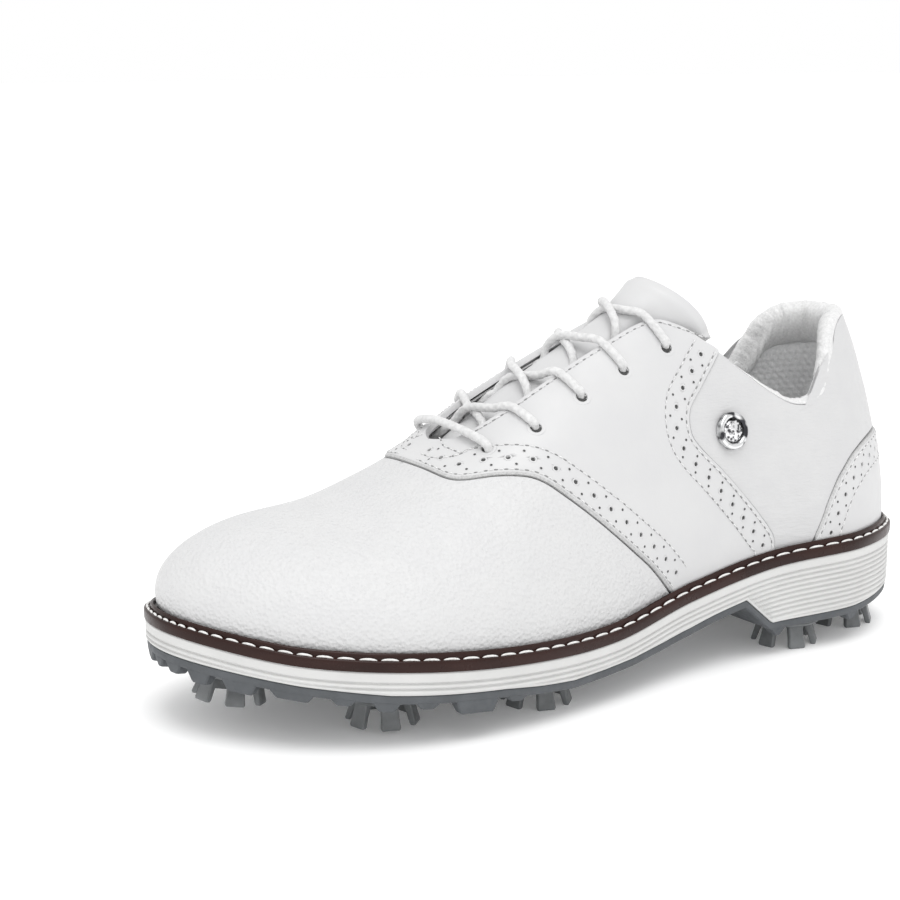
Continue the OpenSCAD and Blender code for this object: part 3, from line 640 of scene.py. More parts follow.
def paint_sole():
    a = Paint("brown_welt", (0.02, 0.0072, 0.0056), 0.32, Specular_IOR_Level=0.2,
              Coat_Weight=0.03, Coat_Roughness=0.12)
    a.vary(a.noise(7, stretch=(0.3, 0.3, 1)), (0.03, 0.0115, 0.009)).gloss(a.noise(3), 0.08)
    a.bump(a.noise(0.9), 0.04)

    a = Paint("midsole_foam", (0.61, 0.61, 0.602), 0.5)
    a.vary(a.noise(16), (0.58, 0.58, 0.572)).gloss(a.noise(2), 0.08)
    a.bump(a.noise(0.35), 0.025).bump(a.noise(3), 0.06)

    a = Paint("outsole_rubber", (0.068, 0.074, 0.08), 0.6)
    a.vary(a.noise(9), (0.085, 0.092, 0.1)).gloss(a.noise(2), 0.1)
    a.bump(a.noise(0.4), 0.04).bump(a.noise(2.5), 0.08)

    a = Paint("cleat_plastic", (0.13, 0.137, 0.14), 0.42)
    a.vary(a.noise(5), (0.17, 0.178, 0.183)).gloss(a.noise(1.5), 0.1)
    a.bump(a.noise(0.3), 0.03).bump(a.noise(2), 0.05)

    a = Paint("cup_plastic", 0.16, 0.5)
    a.vary(a.noise(4), 0.22).bump(a.noise(0.5), 0.03)


def paint_small_parts():
    # The near-black patches mixed into the chrome are painted reflections of a darker surrounding.
    a = Paint("chrome", (0.74, 0.745, 0.75), 0.08, Metallic=1.0)
    a.vary(a.noise(4.5, 1), (0.05, 0.05, 0.055), 0.47, 0.56).gloss(a.noise(0.8), 0.04)
    a.bump(a.noise(1.2), 0.02)

    # Dark at the dimple bottoms and bright on the ridges between them: painted shade and painted
    # highlight on the dome.
    a = Paint("dimpled_chrome_painted_shade", (0.08, 0.08, 0.085), 0.1, Metallic=1.0)
    a.vary(a.cells(1.25), (0.8, 0.8, 0.81), 0.34, 0.62).gloss(a.noise(0.8), 0.04)
    a.bump(a.cells(1.25, 0.3), 0.12)

    a = Paint("spring_steel", (0.42, 0.42, 0.43), 0.35, Metallic=1.0)
    a.vary(a.noise(1.5, stretch=(0.1, 2, 2)), (0.3, 0.3, 0.31)).bump(a.noise(0.4), 0.02)

    a = Paint("clear_plastic", 0.8, 0.2, Transmission_Weight=0.25, IOR=1.46)
    a.vary(a.noise(3), 0.7).bump(a.noise(1.4), 0.05)

    a = Paint("fibreboard", (0.36, 0.25, 0.15), 0.85)
    a.vary(a.noise(1.4), (0.27, 0.18, 0.1)).bump(a.noise(0.7), 0.1)

    a = Paint("stiffener", (0.5, 0.42, 0.3), 0.8)
    a.vary(a.noise(1.2), (0.42, 0.34, 0.23)).bump(a.noise(0.6), 0.1)


paint_leathers()
paint_textiles()
paint_sole()
paint_small_parts()


# ---- stitches and punched holes ----

def frames_on(places, depth, relief=None, sunk=0.0):
    """Positions on the leather's uneven surface at places of the last, and outward normals."""
    v, h = places.T
    lift = relief(v, h, inside(v, h, depth)) if relief else 0
    return inside(v, h, depth - lift + sunk), skin_normal(v, h)


def capsules(starts, ends, ups, radius, arch=0.0, sides=6, beads=(0, 0.12, 0.5, 0.88, 1)):
    """Short bowed threads from starts to ends, lifted by arch in the middle."""
    t = np.array(beads)
    fat = np.sqrt(np.clip(1 - (2 * t - 1) ** 4, 0.08, 1)) * radius
    lift = (1 - (2 * t - 1) ** 2) * arch
    way = unit(ends - starts)
    up = unit(ups - way * (ups * way).sum(-1, keepdims=True))
    across = np.cross(way, up)
    c, s = circle(sides)
    middle = (starts[:, None] + (ends - starts)[:, None] * t[None, :, None]
              + up[:, None] * lift[None, :, None])
    ring = up[:, None] * c + across[:, None] * s
    points = middle[:, :, None] + ring[:, None] * fat[None, :, None, None]
    faces = ring_faces(len(t), sides)
    return joined([(thread, faces) for thread in points.reshape(len(starts), -1, 3)])


def stitch_ends(path, depth, relief):
    """Ends of the stitches along a path, sunk a little where the needle went in."""
    count = max(int(path_length(path) / STITCH_PITCH), 2)
    s = np.linspace(0, path_length(path), count + 1)
    starts, n = frames_on(at_lengths(path, s[:-1] + STITCH_GAP / 2), depth, relief, 0.1)
    ends, _ = frames_on(at_lengths(path, s[1:] - STITCH_GAP / 2), depth, relief, 0.1)
    return starts, ends, n


def sew(name, rows, relief):
    """One piece with all the stitches of several rows, and in each gap a dark mark painted as the
    shade at the needle holes.
    """
    parts = [stitch_ends(row, -OVERLAY, relief) for row in rows]
    starts, ends, ups = (np.concatenate([p[k] for p in parts]) for k in range(3))
    threads = capsules(starts, ends, ups, THREAD / 2, arch=0.3)
    low, high, out = (np.concatenate(sides) for sides in
                      ([p[1][:-1] for p in parts], [p[0][1:] for p in parts],
                       [p[2][1:] for p in parts]))
    # Dark capsules in the gaps between stitches: painted shade at the needle holes.
    marks = capsules(low - out * 0.06, high - out * 0.06, out, NEEDLE_SHADE_W / 2)
    kinds = [0] * len(threads[1]) + [1] * len(marks[1])
    add_piece(name, *joined([threads, marks]), ["sewing_thread", "needle_mark"],
              paint_of=kinds, weld=0, crease=70)


def cups(name, holes, normals, sides=14):
    """Small closed cups, one in each hole: a rounded lip, and a wall and floor painted dark as the
    shade inside the hole.
    """
    parts, kinds = [], []
    for hole, n in zip(holes, normals):
        r = hole[3]
        lip = EYELET if r > BIG_HOLE else PUNCH if r > SMALL_HOLE else SHALLOW
        middle = [0.03] if r > BIG_HOLE else [0.5, 0.02]
        floor = lip[-1][1]
        profile = [(r + dr, dz) for dr, dz in lip] + [(r * part, floor) for part in middle]
        profile += [(r * middle[-1], floor - 0.25), (r + 0.3, floor - 0.25)]
        parts.append(turned(profile, sides, hole[:3], n))
        # The inner wall and floor faces take the painted shade of the hole.
        kinds += [int(5 <= k // sides <= len(lip)) for k in range(len(profile) * sides)]
    add_piece(name, *joined(parts), ["smooth_leather", "punched_hole"], paint_of=kinds, weld=0,
              crease=50)


def hole_rows(places, radius, depth):
    """Rows of x, y, z, radius and depth for holes at places of the last, and their normals."""
    p, n = frames_on(places, -OVERLAY, saddle_relief)
    return np.hstack([p, np.tile([radius, depth], (len(p), 1))]), n


def brogue(seam, way, aim=REAR_PITCH, start=3.5, stop=3.0):
    """Punched holes along a band beside a seam: big ones on the middle row, pairs between."""
    middle = beside(seam, way * HOLE_ROW)
    total = path_length(middle)
    count = round((total - start - stop) / aim)
    pitch = (total - start - stop) / count
    rows = [hole_rows(at_lengths(middle, start + pitch * np.arange(count + 1)), BIG_HOLE, 0.95)]
    s = start + pitch * (np.arange(count) + 0.5)
    for spread in (-PAIR_SPREAD, PAIR_SPREAD):
        line = beside(seam, way * (HOLE_ROW + spread))
        places = at_lengths(line, s * path_length(line) / total)
        rows.append(hole_rows(places, SMALL_HOLE, 0.95))
    return [np.concatenate(column) for column in zip(*rows)]


def widened(holes, by=0.14):
    """The deep holes a little wider, so that the leather clears the cups."""
    return holes[holes[:, 3] > SMALL_HOLE] + [0, 0, 0, by, 0]


# ---- the upper ----

EDGES = np.array([0, 0.0015, 0.0035, 0.006])


def stations(count, first=0.01, edges=EDGES):
    """Stations from 0 to 1, with extra ones close to both ends for the rounded edges."""
    return np.concatenate([edges, np.linspace(first, 1 - first, count), 1 - edges[::-1]])


def fine_ends(fine, coarse, share):
    """Stations from 0 to 1, close together over a share of both ends."""
    ends = np.linspace(0, share, fine)
    low = np.concatenate([EDGES, ends[ends > 0.008]])
    return np.concatenate([low, np.linspace(share, 1 - share, coarse)[1:-1], 1 - low[::-1]])


def rows_to(low, top, r):
    """Heights from low to top, closer together near the ridge so that rows lie evenly."""
    low_a, top_a = np.arcsin(low), np.arcsin(np.clip(top, 0, 1))
    return np.sin(low_a + (np.asarray(top_a)[:, None] - low_a) * r[None, :])


def saddle_grid(fine=32, coarse=100, rows=210, inset=0.0, low=FOOT_GAP):
    s = fine_ends(fine, coarse, 0.15)
    top = curve(SADDLE_TOP, s)
    h = rows_to(low, top - inset, stations(rows))
    a = curve(REAR_SEAM, h) + PANEL_GAP
    b = curve(FRONT_SEAM, h) - PANEL_GAP
    at_ridge = (top[:-1] >= 0.9999) & (top[1:] >= 0.9999)
    return a + (b - a) * s[:, None], h, at_ridge


def quarter_grid(columns=150, rows=110):
    """The quarter between the heel patch and welt below, the topline, and the saddle's seam."""
    s = fine_ends(6, columns, 0.02)[:, None]
    turn, patch_end, foot_end = 0.85, 0.254, 0.292
    foot = np.where(s < turn, patch_end * s / turn,
                    patch_end + (foot_end - patch_end) * (s - turn) / (1 - turn))
    foot_h = np.where(s < turn, np.maximum(curve(PATCH_TOP, foot), 0) + 0.004, FOOT_GAP)
    head = THROAT * s
    head_h = curve(TOPLINE, head)
    r = stations(rows)[None, :]
    h = THROAT_H * r
    front = curve(REAR_SEAM, h) - PANEL_GAP
    v = foot * (1 - r) + head * r + s * (front - foot[-1] * (1 - r) - head[-1] * r)
    k = foot_h * (1 - r) + head_h * r + s * (h - foot_h[-1] * (1 - r) - head_h[-1] * r)
    return np.maximum(v, PANEL_GAP), k


def vamp_grid(columns=230, rows=110, low=FOOT_GAP):
    s = stations(columns, 0.006, np.array([0, 0.0008, 0.002, 0.0035]))
    r = np.concatenate([[0, 0.002, 0.005], np.linspace(0.01, 1, rows)])
    h = rows_to(low, np.ones(len(s)), r)
    a = curve(FRONT_SEAM, h) + PANEL_GAP
    return a + (2 - 2 * a) * s[:, None], h


def vamp_relief(v, h, p):
    """Soft unevenness, low creases on the sides of the ball, and tumbled grain by the welt."""
    low = smooth_step(0.55 - h, 0, 0.45)
    creases = noise(p, (3.2, 9, 13), 3) * 0.13 + noise(p, (1.7, 6, 7), 5) * 0.05
    flex = smooth_step(p[..., 0], 120, 165) * (1 - smooth_step(p[..., 0], 235, 280))
    return noise(p, 26, 1) * 0.22 + creases * low * flex + noise(p, 1.9, 7) * 0.05 * low


def saddle_relief(v, h, p):
    return noise(p, 30, 11) * 0.16


def backstay_relief(v, h, p):
    return noise(p, 20, 31) * 0.06


def quarter_relief(v, h, p):
    wrinkle = noise(p, (7, 7, 1.5), 21) * 0.09 + noise(p, (12, 12, 3.4), 22) * 0.1
    badge = inside(*BADGE_AT, 0.0)
    dent = np.exp(-(np.linalg.norm(p - badge, axis=-1) / 9) ** 2) * 0.25
    return wrinkle * (0.35 + 0.65 * smooth_step(0.55 - h, 0, 0.2)) + noise(p, 25, 2) * 0.2 - dent


def band_rows(seam, way):
    return [beside(seam, way * EDGE_ROW), beside(seam, way * INNER_ROW)]


def build_vamp():
    """The vamp and its lining, each folded over the ridge and welded there."""
    for name, paint, sizes, top, under, relief in (
            ("vamp", "tumbled_leather", (), 0.0, LEATHER, vamp_relief),
            ("vamp_lining", "lining_textile", (60, 30, 0.02), 3.0, 3.8, None)):
        v, h = vamp_grid(*sizes)
        leather_piece(name, [paint], (), v, h, top, under, relief,
                      open_top=np.ones(len(v) - 1, bool))


def saddle_decoration(side):
    """The holes, stitch rows and eyelets of one side; holes and eyelets have their normals."""
    front = flip(seam_path(FRONT_SEAM, 0.012, 0.998), side)
    rear = flip(seam_path(REAR_SEAM, 0.012, 0.742), side)
    bands = brogue(front, -side, FRONT_PITCH, 3.5, 2), brogue(rear, side, REAR_PITCH, 3.5, 5)
    rows = band_rows(front, -side) + band_rows(rear, side)
    u = np.linspace(0.352, 0.585, 200)
    rows.append(beside(flip(np.stack([u, facing_edge(u)], -1), side), side * EDGE_ROW))
    base = [[0.585, 0.947], [0.6, 0.958], [0.611, 0.975], [0.617, 0.99], [0.618, 0.999]]
    rows.append(flip(spline(guided(base), np.linspace(0, 1, 60)), side))
    eyes = hole_rows(np.array(EYELETS) * [side, 1], EYELET_HOLE, 0.9)
    return [np.concatenate(column) for column in zip(*bands)], rows, eyes


def build_saddles():
    """Both saddles, one piece that meets at the ridge, and the linings of their facings."""
    sheets, kinds, seams = [], [], []
    for side, word in ((1, "lateral"), (-1, "medial")):
        holes, rows, eyes = saddle_decoration(side)
        cups("brogue_holes_" + word, *holes)
        cups("eyelet_rims_" + word, *eyes, 24)
        v, h, at_ridge = saddle_grid()
        cuts = np.vstack([widened(holes[0]), widened(eyes[0])])
        points, faces, face_kinds = leather(v * side, h, -OVERLAY, LEATHER, saddle_relief, cuts,
                                            at_ridge, raw_side=4)
        sheets.append((points, faces))
        kinds.append(face_kinds)
        seams += rows
        v, h, _ = saddle_grid(12, 30, 50, 0.012, 0.02)
        leather_piece("facing_lining_" + word, ["lining_textile"], (), v * side, h, 1.9, 2.6)
    add_piece("saddle", *joined(sheets), ["smooth_leather", "raw_leather_edge"],
              ["saddle_lateral", "saddle_medial"],
              paint_of=np.isin(np.concatenate(kinds), (4, 5)).astype(int))
    sew("saddle_stitching", seams, saddle_relief)


def build_quarters():
    v, h = quarter_grid()
    for side, word in ((1, "lateral"), (-1, "medial")):
        leather_piece("quarter_" + word, ["quarter_leather"], (), v * side, h, 0.0, LEATHER,
                      quarter_relief)


def patch_path(inset, side, u0):
    """The heel patch's edge from the back seam down to the welt, moved inset inwards."""
    u = np.concatenate([np.linspace(u0, 0.19, 120), np.linspace(0.192, 0.2515, 160)])
    edge = flip(np.stack([u, np.maximum(curve(PATCH_TOP, u) - 0.004, 0.004)], -1), side)
    return beside(edge, side * inset) if inset else edge


def build_heel_patch():
    """The patch round the heel, with a brogue band along its upper edge on each side."""
    u = np.concatenate([np.linspace(0, 0.13, 50), np.linspace(0.132, 0.25, 110)])
    v = np.concatenate([-u[:0:-1], u])[:, None]
    r = stations(80, 0.012, np.array([0, 0.002, 0.005]))[None, :]
    h = FOOT_GAP + (curve(PATCH_TOP, np.abs(v)) - 0.004 - FOOT_GAP) * r
    bands, rows = [], []
    for side in (1, -1):
        bands.append(brogue(patch_path(0, side, 0.05), side, REAR_PITCH, 4, 4))
        for inset in (EDGE_ROW, INNER_ROW):
            row = patch_path(inset, side, 0.004)
            rows.append(row[row[:, 1] > 0.008])
    holes, normals = (np.concatenate(column) for column in zip(*bands))
    cups("brogue_holes_heel", holes, normals)
    leather_piece("heel_patch", ["smooth_leather", "raw_leather_edge"], (2, 5), v + 0 * r, h,
                  -OVERLAY, LEATHER, saddle_relief, widened(holes), raw_side=2)
    sew("heel_patch_stitching", rows, saddle_relief)


def build_backstay():
    """The narrow strip over the back seam, with a row of stitches down each edge."""
    s = np.linspace(-1, 1, 33)[:, None]
    h = np.linspace(0.375, 0.788, 120)[None, :] + 0 * s
    leather_piece("backstay", ["smooth_leather", "raw_leather_edge"], (3, 4), 0.0175 * s + 0 * h,
                  h, -OVERLAY, -0.15, backstay_relief)
    k = np.linspace(0.39, 0.775, 90)
    rows = [np.stack([0 * k + x, k], -1) for x in (-0.0125, 0.0125)]
    sew("backstay_stitching", rows, backstay_relief)


def build_collar():
    """The gathered textile roll along the topline, thin where it runs up to the throat."""
    v = np.linspace(-0.335, 0.335, 760)
    u = np.abs(v)
    top = curve(TOPLINE, u)
    base = skin(v, top)
    outward = unit(skin_normal(v, top) * [1, 1, 0.25])
    climb = skin(v, top + 0.01) - skin(v, top - 0.01)
    over = unit(np.cross(np.gradient(base, axis=0), outward))
    thin = curve([[0, 1], [0.2, 1], [0.25, 0.85], [0.29, 0.6], [0.335, 0.34]], u)[:, None]
    lip = curve([[0, 1], [0.18, 1], [0.2, 1.5], [0.225, 1.4], [0.25, 0.8], [0.3, 0.5],
                 [0.335, 0.1]], u)[:, None]
    looped = np.vstack([COLLAR_SECTION[-1:], COLLAR_SECTION, COLLAR_SECTION[:2]])
    sides = 40
    depth, height = spline(looped, np.linspace(0, 1, sides + 1)[:-1]).T[:, None]
    rise = np.linalg.norm(climb, axis=-1)[:, None] / 0.02
    h = top[:, None] + np.minimum(height, 0) * (0.45 + 0.55 * thin) / rise
    inward = unit(skin_normal(v[:, None], h) * [1, 1, 0.25])
    ring = (skin(v[:, None], h)
            - inward * (depth * np.where(depth > 1.7, thin, 1))[..., None]
            + over[:, None] * (np.maximum(height, 0) * lip)[..., None])
    centre = base[:, None] - outward[:, None] * 4.5 * thin[..., None] - unit(climb)[:, None] * 3
    run = lengths(base)[:, None]
    where = np.stack([run + 0 * depth, np.arange(sides)[None, :] * 0.9 + 0 * run], -1)
    soft = smooth_step(depth, 0.6, 3.0) * np.minimum(1, thin * 1.4)
    gather = noise(where, (1.1, 9), 41) * 0.34 + noise(where, (3.4, 14), 42) * 0.3
    fine = noise(where, (0.7, 2.2), 43) * 0.1
    ring = ring + unit(ring - centre) * (gather * soft + fine * (0.4 + 0.6 * soft))[..., None]
    piece = add_piece("collar", *block(ring), ["collar_textile"], crease=80)


def build_lining():
    """The padded knit lining of the heel and sides, with hollows between its knitted cells."""
    s = np.linspace(-1, 1, 330)[:, None]
    u = 0.335 * np.abs(s)
    top = curve(TOPLINE, u) - curve([[0, 0.1], [0.2, 0.1], [0.27, 0.06], [0.335, 0.02]], u)
    h = 0.04 + (top - 0.04) * np.linspace(0, 1, 84)[None, :]
    v = s * (curve(REAR_SEAM, h) - 0.008)
    base = inside(v, h, 6.2)
    across = run_along(base, 0)
    across = across - across[len(across) // 2]
    row = run_along(base, 1) / 2.6
    shift = np.where(np.floor(row).astype(int) % 2 == 0, 0.0, 0.5)
    cell = np.hypot((across / 3.0 + shift) % 1 - 0.5, row % 1 - 0.5)
    hollow = smooth_step(0.52 - cell, 0, 0.35) * 0.42
    border = np.minimum(border_distance(base), 6) / 6
    puff = (1 - (1 - border) ** 2) * 1.4 + noise(base, 14, 51) * 0.3
    points, faces, _ = slab(inside(v, h, 3.2), inside(v, h, 5.0 + puff - hollow))
    piece = add_piece("quarter_lining", points, faces, ["mesh_textile"], crease=75)


# ---- the tongue ----

def tongue_place(t, q):
    h = 1 - (1 - curve(TONGUE_SPREAD, t)) * q * q
    v = (0.615 + (0.377 - 0.615) * t - 0.23 * (1 - h)) * np.where(q < 0, -1, 1)
    return v, h


def tongue_depth(t, q):
    w = np.where(t < 0.8, 0.55, 0.55 + 0.45 * (t - 0.8) / 0.2)
    k = np.maximum(1 - (q / w) ** 2, 0)
    return curve(TONGUE_SIDE, t) * (1 - k) + curve(TONGUE_CREST, t) * k


def tongue_sheet(tn=170, qn=121):
    """Grid over the tongue, its top corners rounded: places of the last and the depth."""
    t = np.linspace(1, 0, tn)[:, None]
    q = np.linspace(-1, 1, qn)[None, :]
    t2 = t - 0.04 * smooth_step(t, 0.8, 1) * np.abs(q) ** 6
    v, h = tongue_place(t2, q * (1 + 0.08 * smooth_step(t, 0.85, 1)))
    return v, h, tongue_depth(t2, q)


def arc(x):
    """Quarter circle: from 0 with a steep start to 1 with a flat end."""
    return np.sqrt(1 - (1 - np.clip(x, 0, 1)) ** 2)


def tongue_layer(name, outer, inner, paint):
    points, faces, _ = slab(outer, inner)
    piece = add_piece(name, points, faces, [paint], body="tongue_flap", crease=60)


def build_tongue():
    """Leather outside, knit lining inside and foam between, all thinning to the border."""
    v, h, d = tongue_sheet()
    half = TONGUE_T / 2
    shallow = border_distance(inside(v, h, d)) / TONGUE_EDGE
    mid = inside(v, h, d + 1.2 + (half - 1.2) * arc(shallow))
    normal = unit(np.cross(np.gradient(mid, axis=0), np.gradient(mid, axis=1)))
    if (normal * skin_normal(v, h)).sum() < 0:
        normal = -normal
    edge = border_distance(mid)
    crown = arc(edge / TONGUE_EDGE) ** 0.9

    def off(sheet, distance):
        return sheet + normal * distance[..., None]

    cover = off(mid, half * crown + noise(mid, 22, 61) * 0.35 * crown)
    tongue_layer("tongue", cover, off(cover, -0.9 * np.minimum(1, crown + 0.06)),
                 "smooth_leather")
    weave = 0.22 * np.cos(2 * np.pi * edge / 2.4) * crown
    knit = off(mid, -half * crown - weave)
    tongue_layer("tongue_lining", off(knit, 0.8 * np.minimum(1, crown + 0.06)), knit,
                 "mesh_textile")
    thin = (half - 1.0) * arc((np.clip(edge / TONGUE_EDGE, 0, 1) - 0.12) / 0.88) + 0.02
    tongue_layer("tongue_foam", off(mid, thin)[::3, ::3], off(mid, -thin)[::3, ::3],
                 "cushion_foam")


# ---- the lace ----

LACE_TAIL = [(0.47, 0.7, 5.4), (0.43, 0.79, 5.2)]


def cross_depth(t, strand):
    return curve(TONGUE_CREST, t) - LACE_D / 2 + 0.2 - (0 if strand > 0 else 0.75 * LACE_D)


def on_tongue(u, h):
    """Depth at which the lace lies on the tongue at a place of the last."""
    t = (0.615 - 0.23 * (1 - h) - u) / 0.238
    q = np.sqrt((1 - h) / (1 - curve(TONGUE_SPREAD, t)))
    return tongue_depth(t, q) - LACE_D / 2 - 0.4


def lace_pass(side, k, strand):
    """Up through one eyelet, over its facing and the tongue, and under the far facing."""
    a, b = EYELETS[k], EYELETS[k - 1]
    u = (a[0] + b[0]) / 2
    t = (0.615 - u) / 0.238
    over = -OVERLAY - LACE_D / 2 + 0.15
    top = cross_depth(t, strand)
    step = (b[0] - u) / 6
    low = facing_edge(u + 4 * step)
    near = on_tongue(a[0] * 0.25 + u * 0.75, 0.988)
    points = [(side * (a[0] - 0.002), a[1] - 0.006, 4.7),
              (side * a[0], a[1] + 0.012, -0.8),
              (side * (a[0] * 0.93 + u * 0.07), a[1] * 0.76 + 0.955 * 0.24, over + 0.1),
              (side * (a[0] * 0.65 + u * 0.35), 0.957, over),
              (side * (a[0] * 0.25 + u * 0.75), 0.988, min(near, top * 0.75 + over * 0.25)),
              (side * u, 1, top)]
    for j, share in ((1, 0.13), (2, 0.45), (3, 0.75), (4, 1)):
        w, h = u + j * step, 1 - (1 - low) * share
        limit = top + 0.6 * j * j if j < 4 else 4.1
        points.append((-side * w, h, min(on_tongue(w, h), limit)))
    return points + [(-side * (u + 4.7 * step), low - 0.014, 4.5),
                     (-side * (u + 5.4 * step), low - 0.035, 4.8)]


def lace_half(side):
    tail = [(side * v, h, d) for v, h, d in LACE_TAIL]
    passes = [lace_pass(side if i % 2 == 0 else -side, 4 - i, side) for i in range(4)]
    return tail + [p for one in passes for p in one]


def lace_points():
    """The whole route: both halves climb from a straight bar over the lowest eyelets."""
    e, e_h = EYELETS[0]
    bar = [(e, e_h, 4.7), (e, e_h, -2.8), (e + 0.004, 0.975, -3.4), (e + 0.006, 1, -3.6),
           (-e - 0.004, 0.975, -3.4), (-e, e_h, -2.8), (-e, e_h, 4.7)]
    return inside(*np.array(lace_half(1) + bar + lace_half(-1)[::-1], float).T)


def resampled(points, step):
    """The smooth curve through the points, at even steps."""
    dense = spline(guided(points), np.linspace(0, 1, 60 * len(points)))
    run = lengths(dense)
    s = np.arange(0, run[-1], step)
    return np.stack([np.interp(s, run, dense[:, k]) for k in range(3)], -1)


def tube(path, radii):
    """Rings square to a path, each turned as little as possible from the one before."""
    way = unit(np.gradient(path, axis=0))
    a = unit(np.cross(way[0], [0, 0, 1]))
    c, s = circle(radii.shape[1])
    rings = []
    for place, t, r in zip(path, way, radii):
        a = unit(a - t * (a @ t))
        rings.append(place + (a * c + np.cross(t, a) * s) * r[:, None])
    return block(rings)


def build_lace():
    """A round braided lace, eight strands crossing in two directions, and its two tips."""
    path = resampled(lace_points(), 0.5)
    sides = 20
    run = lengths(path)[:, None]
    angle = (np.arange(sides) * 2 * np.pi / sides)[None, :]
    one = np.cos(4 * angle + 2 * np.pi * run / BRAID_PITCH)
    two = np.cos(4 * angle - 2 * np.pi * run / BRAID_PITCH)
    squash = 1 + 0.03 * noise(np.hstack([run, 0 * run]), 9, 71)[:, None]
    radii = LACE_D / 2 * (0.88 + 0.09 * np.maximum(one, two)) * squash
    add_piece("lace", *tube(path, radii), ["lace_textile"], crease=80, weld=0)
    tips = []
    for side in (1, -1):
        end, before = (inside(side * v, h, d) for v, h, d in LACE_TAIL)
        s = np.linspace(0.2, 15, 24)[:, None]
        radius = LACE_D * 0.45 * np.sqrt(np.clip(1 - ((s - 7.6) / 7.8) ** 12, 0.2, 1))
        tips.append(tube(end + unit(end - before) * s, radius * np.ones((24, 16))))
    add_piece("lace_tips", *joined(tips), ["clear_plastic"], weld=0)


# ---- the badge ----

def build_badge():
    """A chrome ring round a dimpled dome, on the lateral quarter; the groove between them is
    painted dark as shade.
    """
    r, dome_r, sides = BADGE_D / 2, 4.3, 72
    rim_profile = [(r - 0.3, 0.1), (r, 0.5), (r, 1.3)]
    rim_profile += [(r - 1.1 + 1.1 * math.cos(x), 1.6 + 1.0 * math.sin(x))
                    for x in np.linspace(0, math.pi, 9)]
    dome = [(dome_r * math.cos(x), 1.0 + 2.3 * math.sin(x)) for x in np.linspace(0, 1.5, 16)]
    profile = rim_profile + [(4.45, 1.1)] + dome + [(0.05, 3.3), (0.05, 0.1)]
    angle = np.arange(sides) * 2 * np.pi / sides
    edge = len(rim_profile) - 1
    for k in range(edge + 2, len(profile) - 3):
        pr, pz = profile[k]
        dimple = np.cos(angle * 14 * max(pr / dome_r, 0.05) + k * 1.6) * min(1, pr / 2)
        profile[k] = (pr, pz + 0.13 * dimple)
    points, faces = turned(profile, sides, skin(*BADGE_AT), skin_normal(*BADGE_AT), (0, 0, 1.0))
    part = np.arange(len(faces)) // sides
    # Kinds: chrome ring with painted reflections, groove with painted shade, dome with painted
    # dimple shade and highlights.
    kinds = np.where(part < edge, 0, np.where(part < edge + 2, 1, 2))
    add_piece("badge", points, faces, ["chrome", "punched_hole", "dimpled_chrome_painted_shade"],
              paint_of=kinds, weld=0, crease=50)


# ---- the bottom ----

def around(count):
    return np.linspace(0, 2, count, endpoint=False)


def tread_z(x):
    return midsole_z(x) - OUTSOLE_T - SOLE_JOINT


def level_ring(v, off, level, up=0.0):
    """The outline moved out by off, as points at a height over a level such as welt_z."""
    p = rim(v, off)
    return np.column_stack([p, level(p[:, 0]) + up])


def middle_ring(v, off, level, up=0.0):
    """The same points drawn in to the middle line, where both sides meet and are welded."""
    ring = level_ring(v, off, level, up)
    ring[:, 1] = (ring[:, 1] + rim((2 - v) % 2, off)[:, 1]) / 2
    return ring


def build_welt():
    """A glossy welt with a stitched ledge and a raised lip against the upper."""
    t = WELT_T
    section = [[-0.1, 0.15], [0, 0.5], [0.05, t / 2], [0, t - 1.1], [-0.2, t - 0.6],
               [-0.6, t - 0.4], [-1.3, t - 0.46], [-1.95, t - 0.4], [-2.1, t + 0.3],
               [-2.2, t + 1.0], [-2.5, t + 1.45], [-2.9, t + 1.6], [-3.2, t + 1.35],
               [-3.4, t + 0.6], [-3.5, t], [-9, t], [-9, 0.15]]
    v = around(760)
    rings = []
    for off, z in section:
        ring = level_ring(v, off, welt_z, z)
        ring[:, 2] += noise(ring[:, :2], 9, 81) * 0.08 * (z > 1)
        rings.append(ring)
    add_piece("welt", *block(np.stack(rings, 1), looped=True), ["brown_welt"], crease=50, weld=0)


def build_welt_stitching():
    k = np.arange(WELT_STITCHES) * 2 / WELT_STITCHES
    starts, ends = (level_ring((k + add * 2 / WELT_STITCHES) % 2, off, welt_z, WELT_T - 0.45)
                    for add, off in ((0.06, -1.05), (0.87, -1.25)))
    ups = np.tile([0.0, 0.0, 1.0], (WELT_STITCHES, 1))
    points, faces = capsules(starts, ends, ups, 0.42, arch=0.35, sides=10,
                             beads=(0, 0.05, 0.15, 0.35, 0.65, 0.85, 0.95, 1))
    add_piece("welt_stitching", points, faces, ["welt_thread"], weld=0, crease=70)


def build_midsole():
    """White midsole: a smooth band under the welt, then ridges that follow it."""
    v, off = around(900), -0.4
    x = rim(v, off)[:, 0]
    high, depth = welt_z(x), (welt_z(x) - midsole_z(x))[:, None]
    band, pitch, groove = 2.9, 1.9, 0.85
    down = np.linspace(0, 1, 120)[None, :] * depth
    wave = np.where(down > band, 0.5 - 0.5 * np.cos(2 * np.pi * (down - band) / pitch), 0)
    out = -groove * wave ** 1.6 * smooth_step(depth - down, 0.2, 1.4)
    out = out - 0.25 * smooth_step(0.5 - down, 0, 0.5)
    out = out - 0.35 * smooth_step(0.6 - (depth - down), 0, 0.6)
    wall = [np.column_stack([rim(v, off + o), high - d]) for o, d in zip(out.T, down.T)]
    rings = [middle_ring(v, off, welt_z), level_ring(v, -6, welt_z), *wall,
             level_ring(v, -6, midsole_z), middle_ring(v, off, midsole_z)]
    add_piece("midsole", *block(rings, capped=False), ["midsole_foam"], weld=2e-5, crease=45)


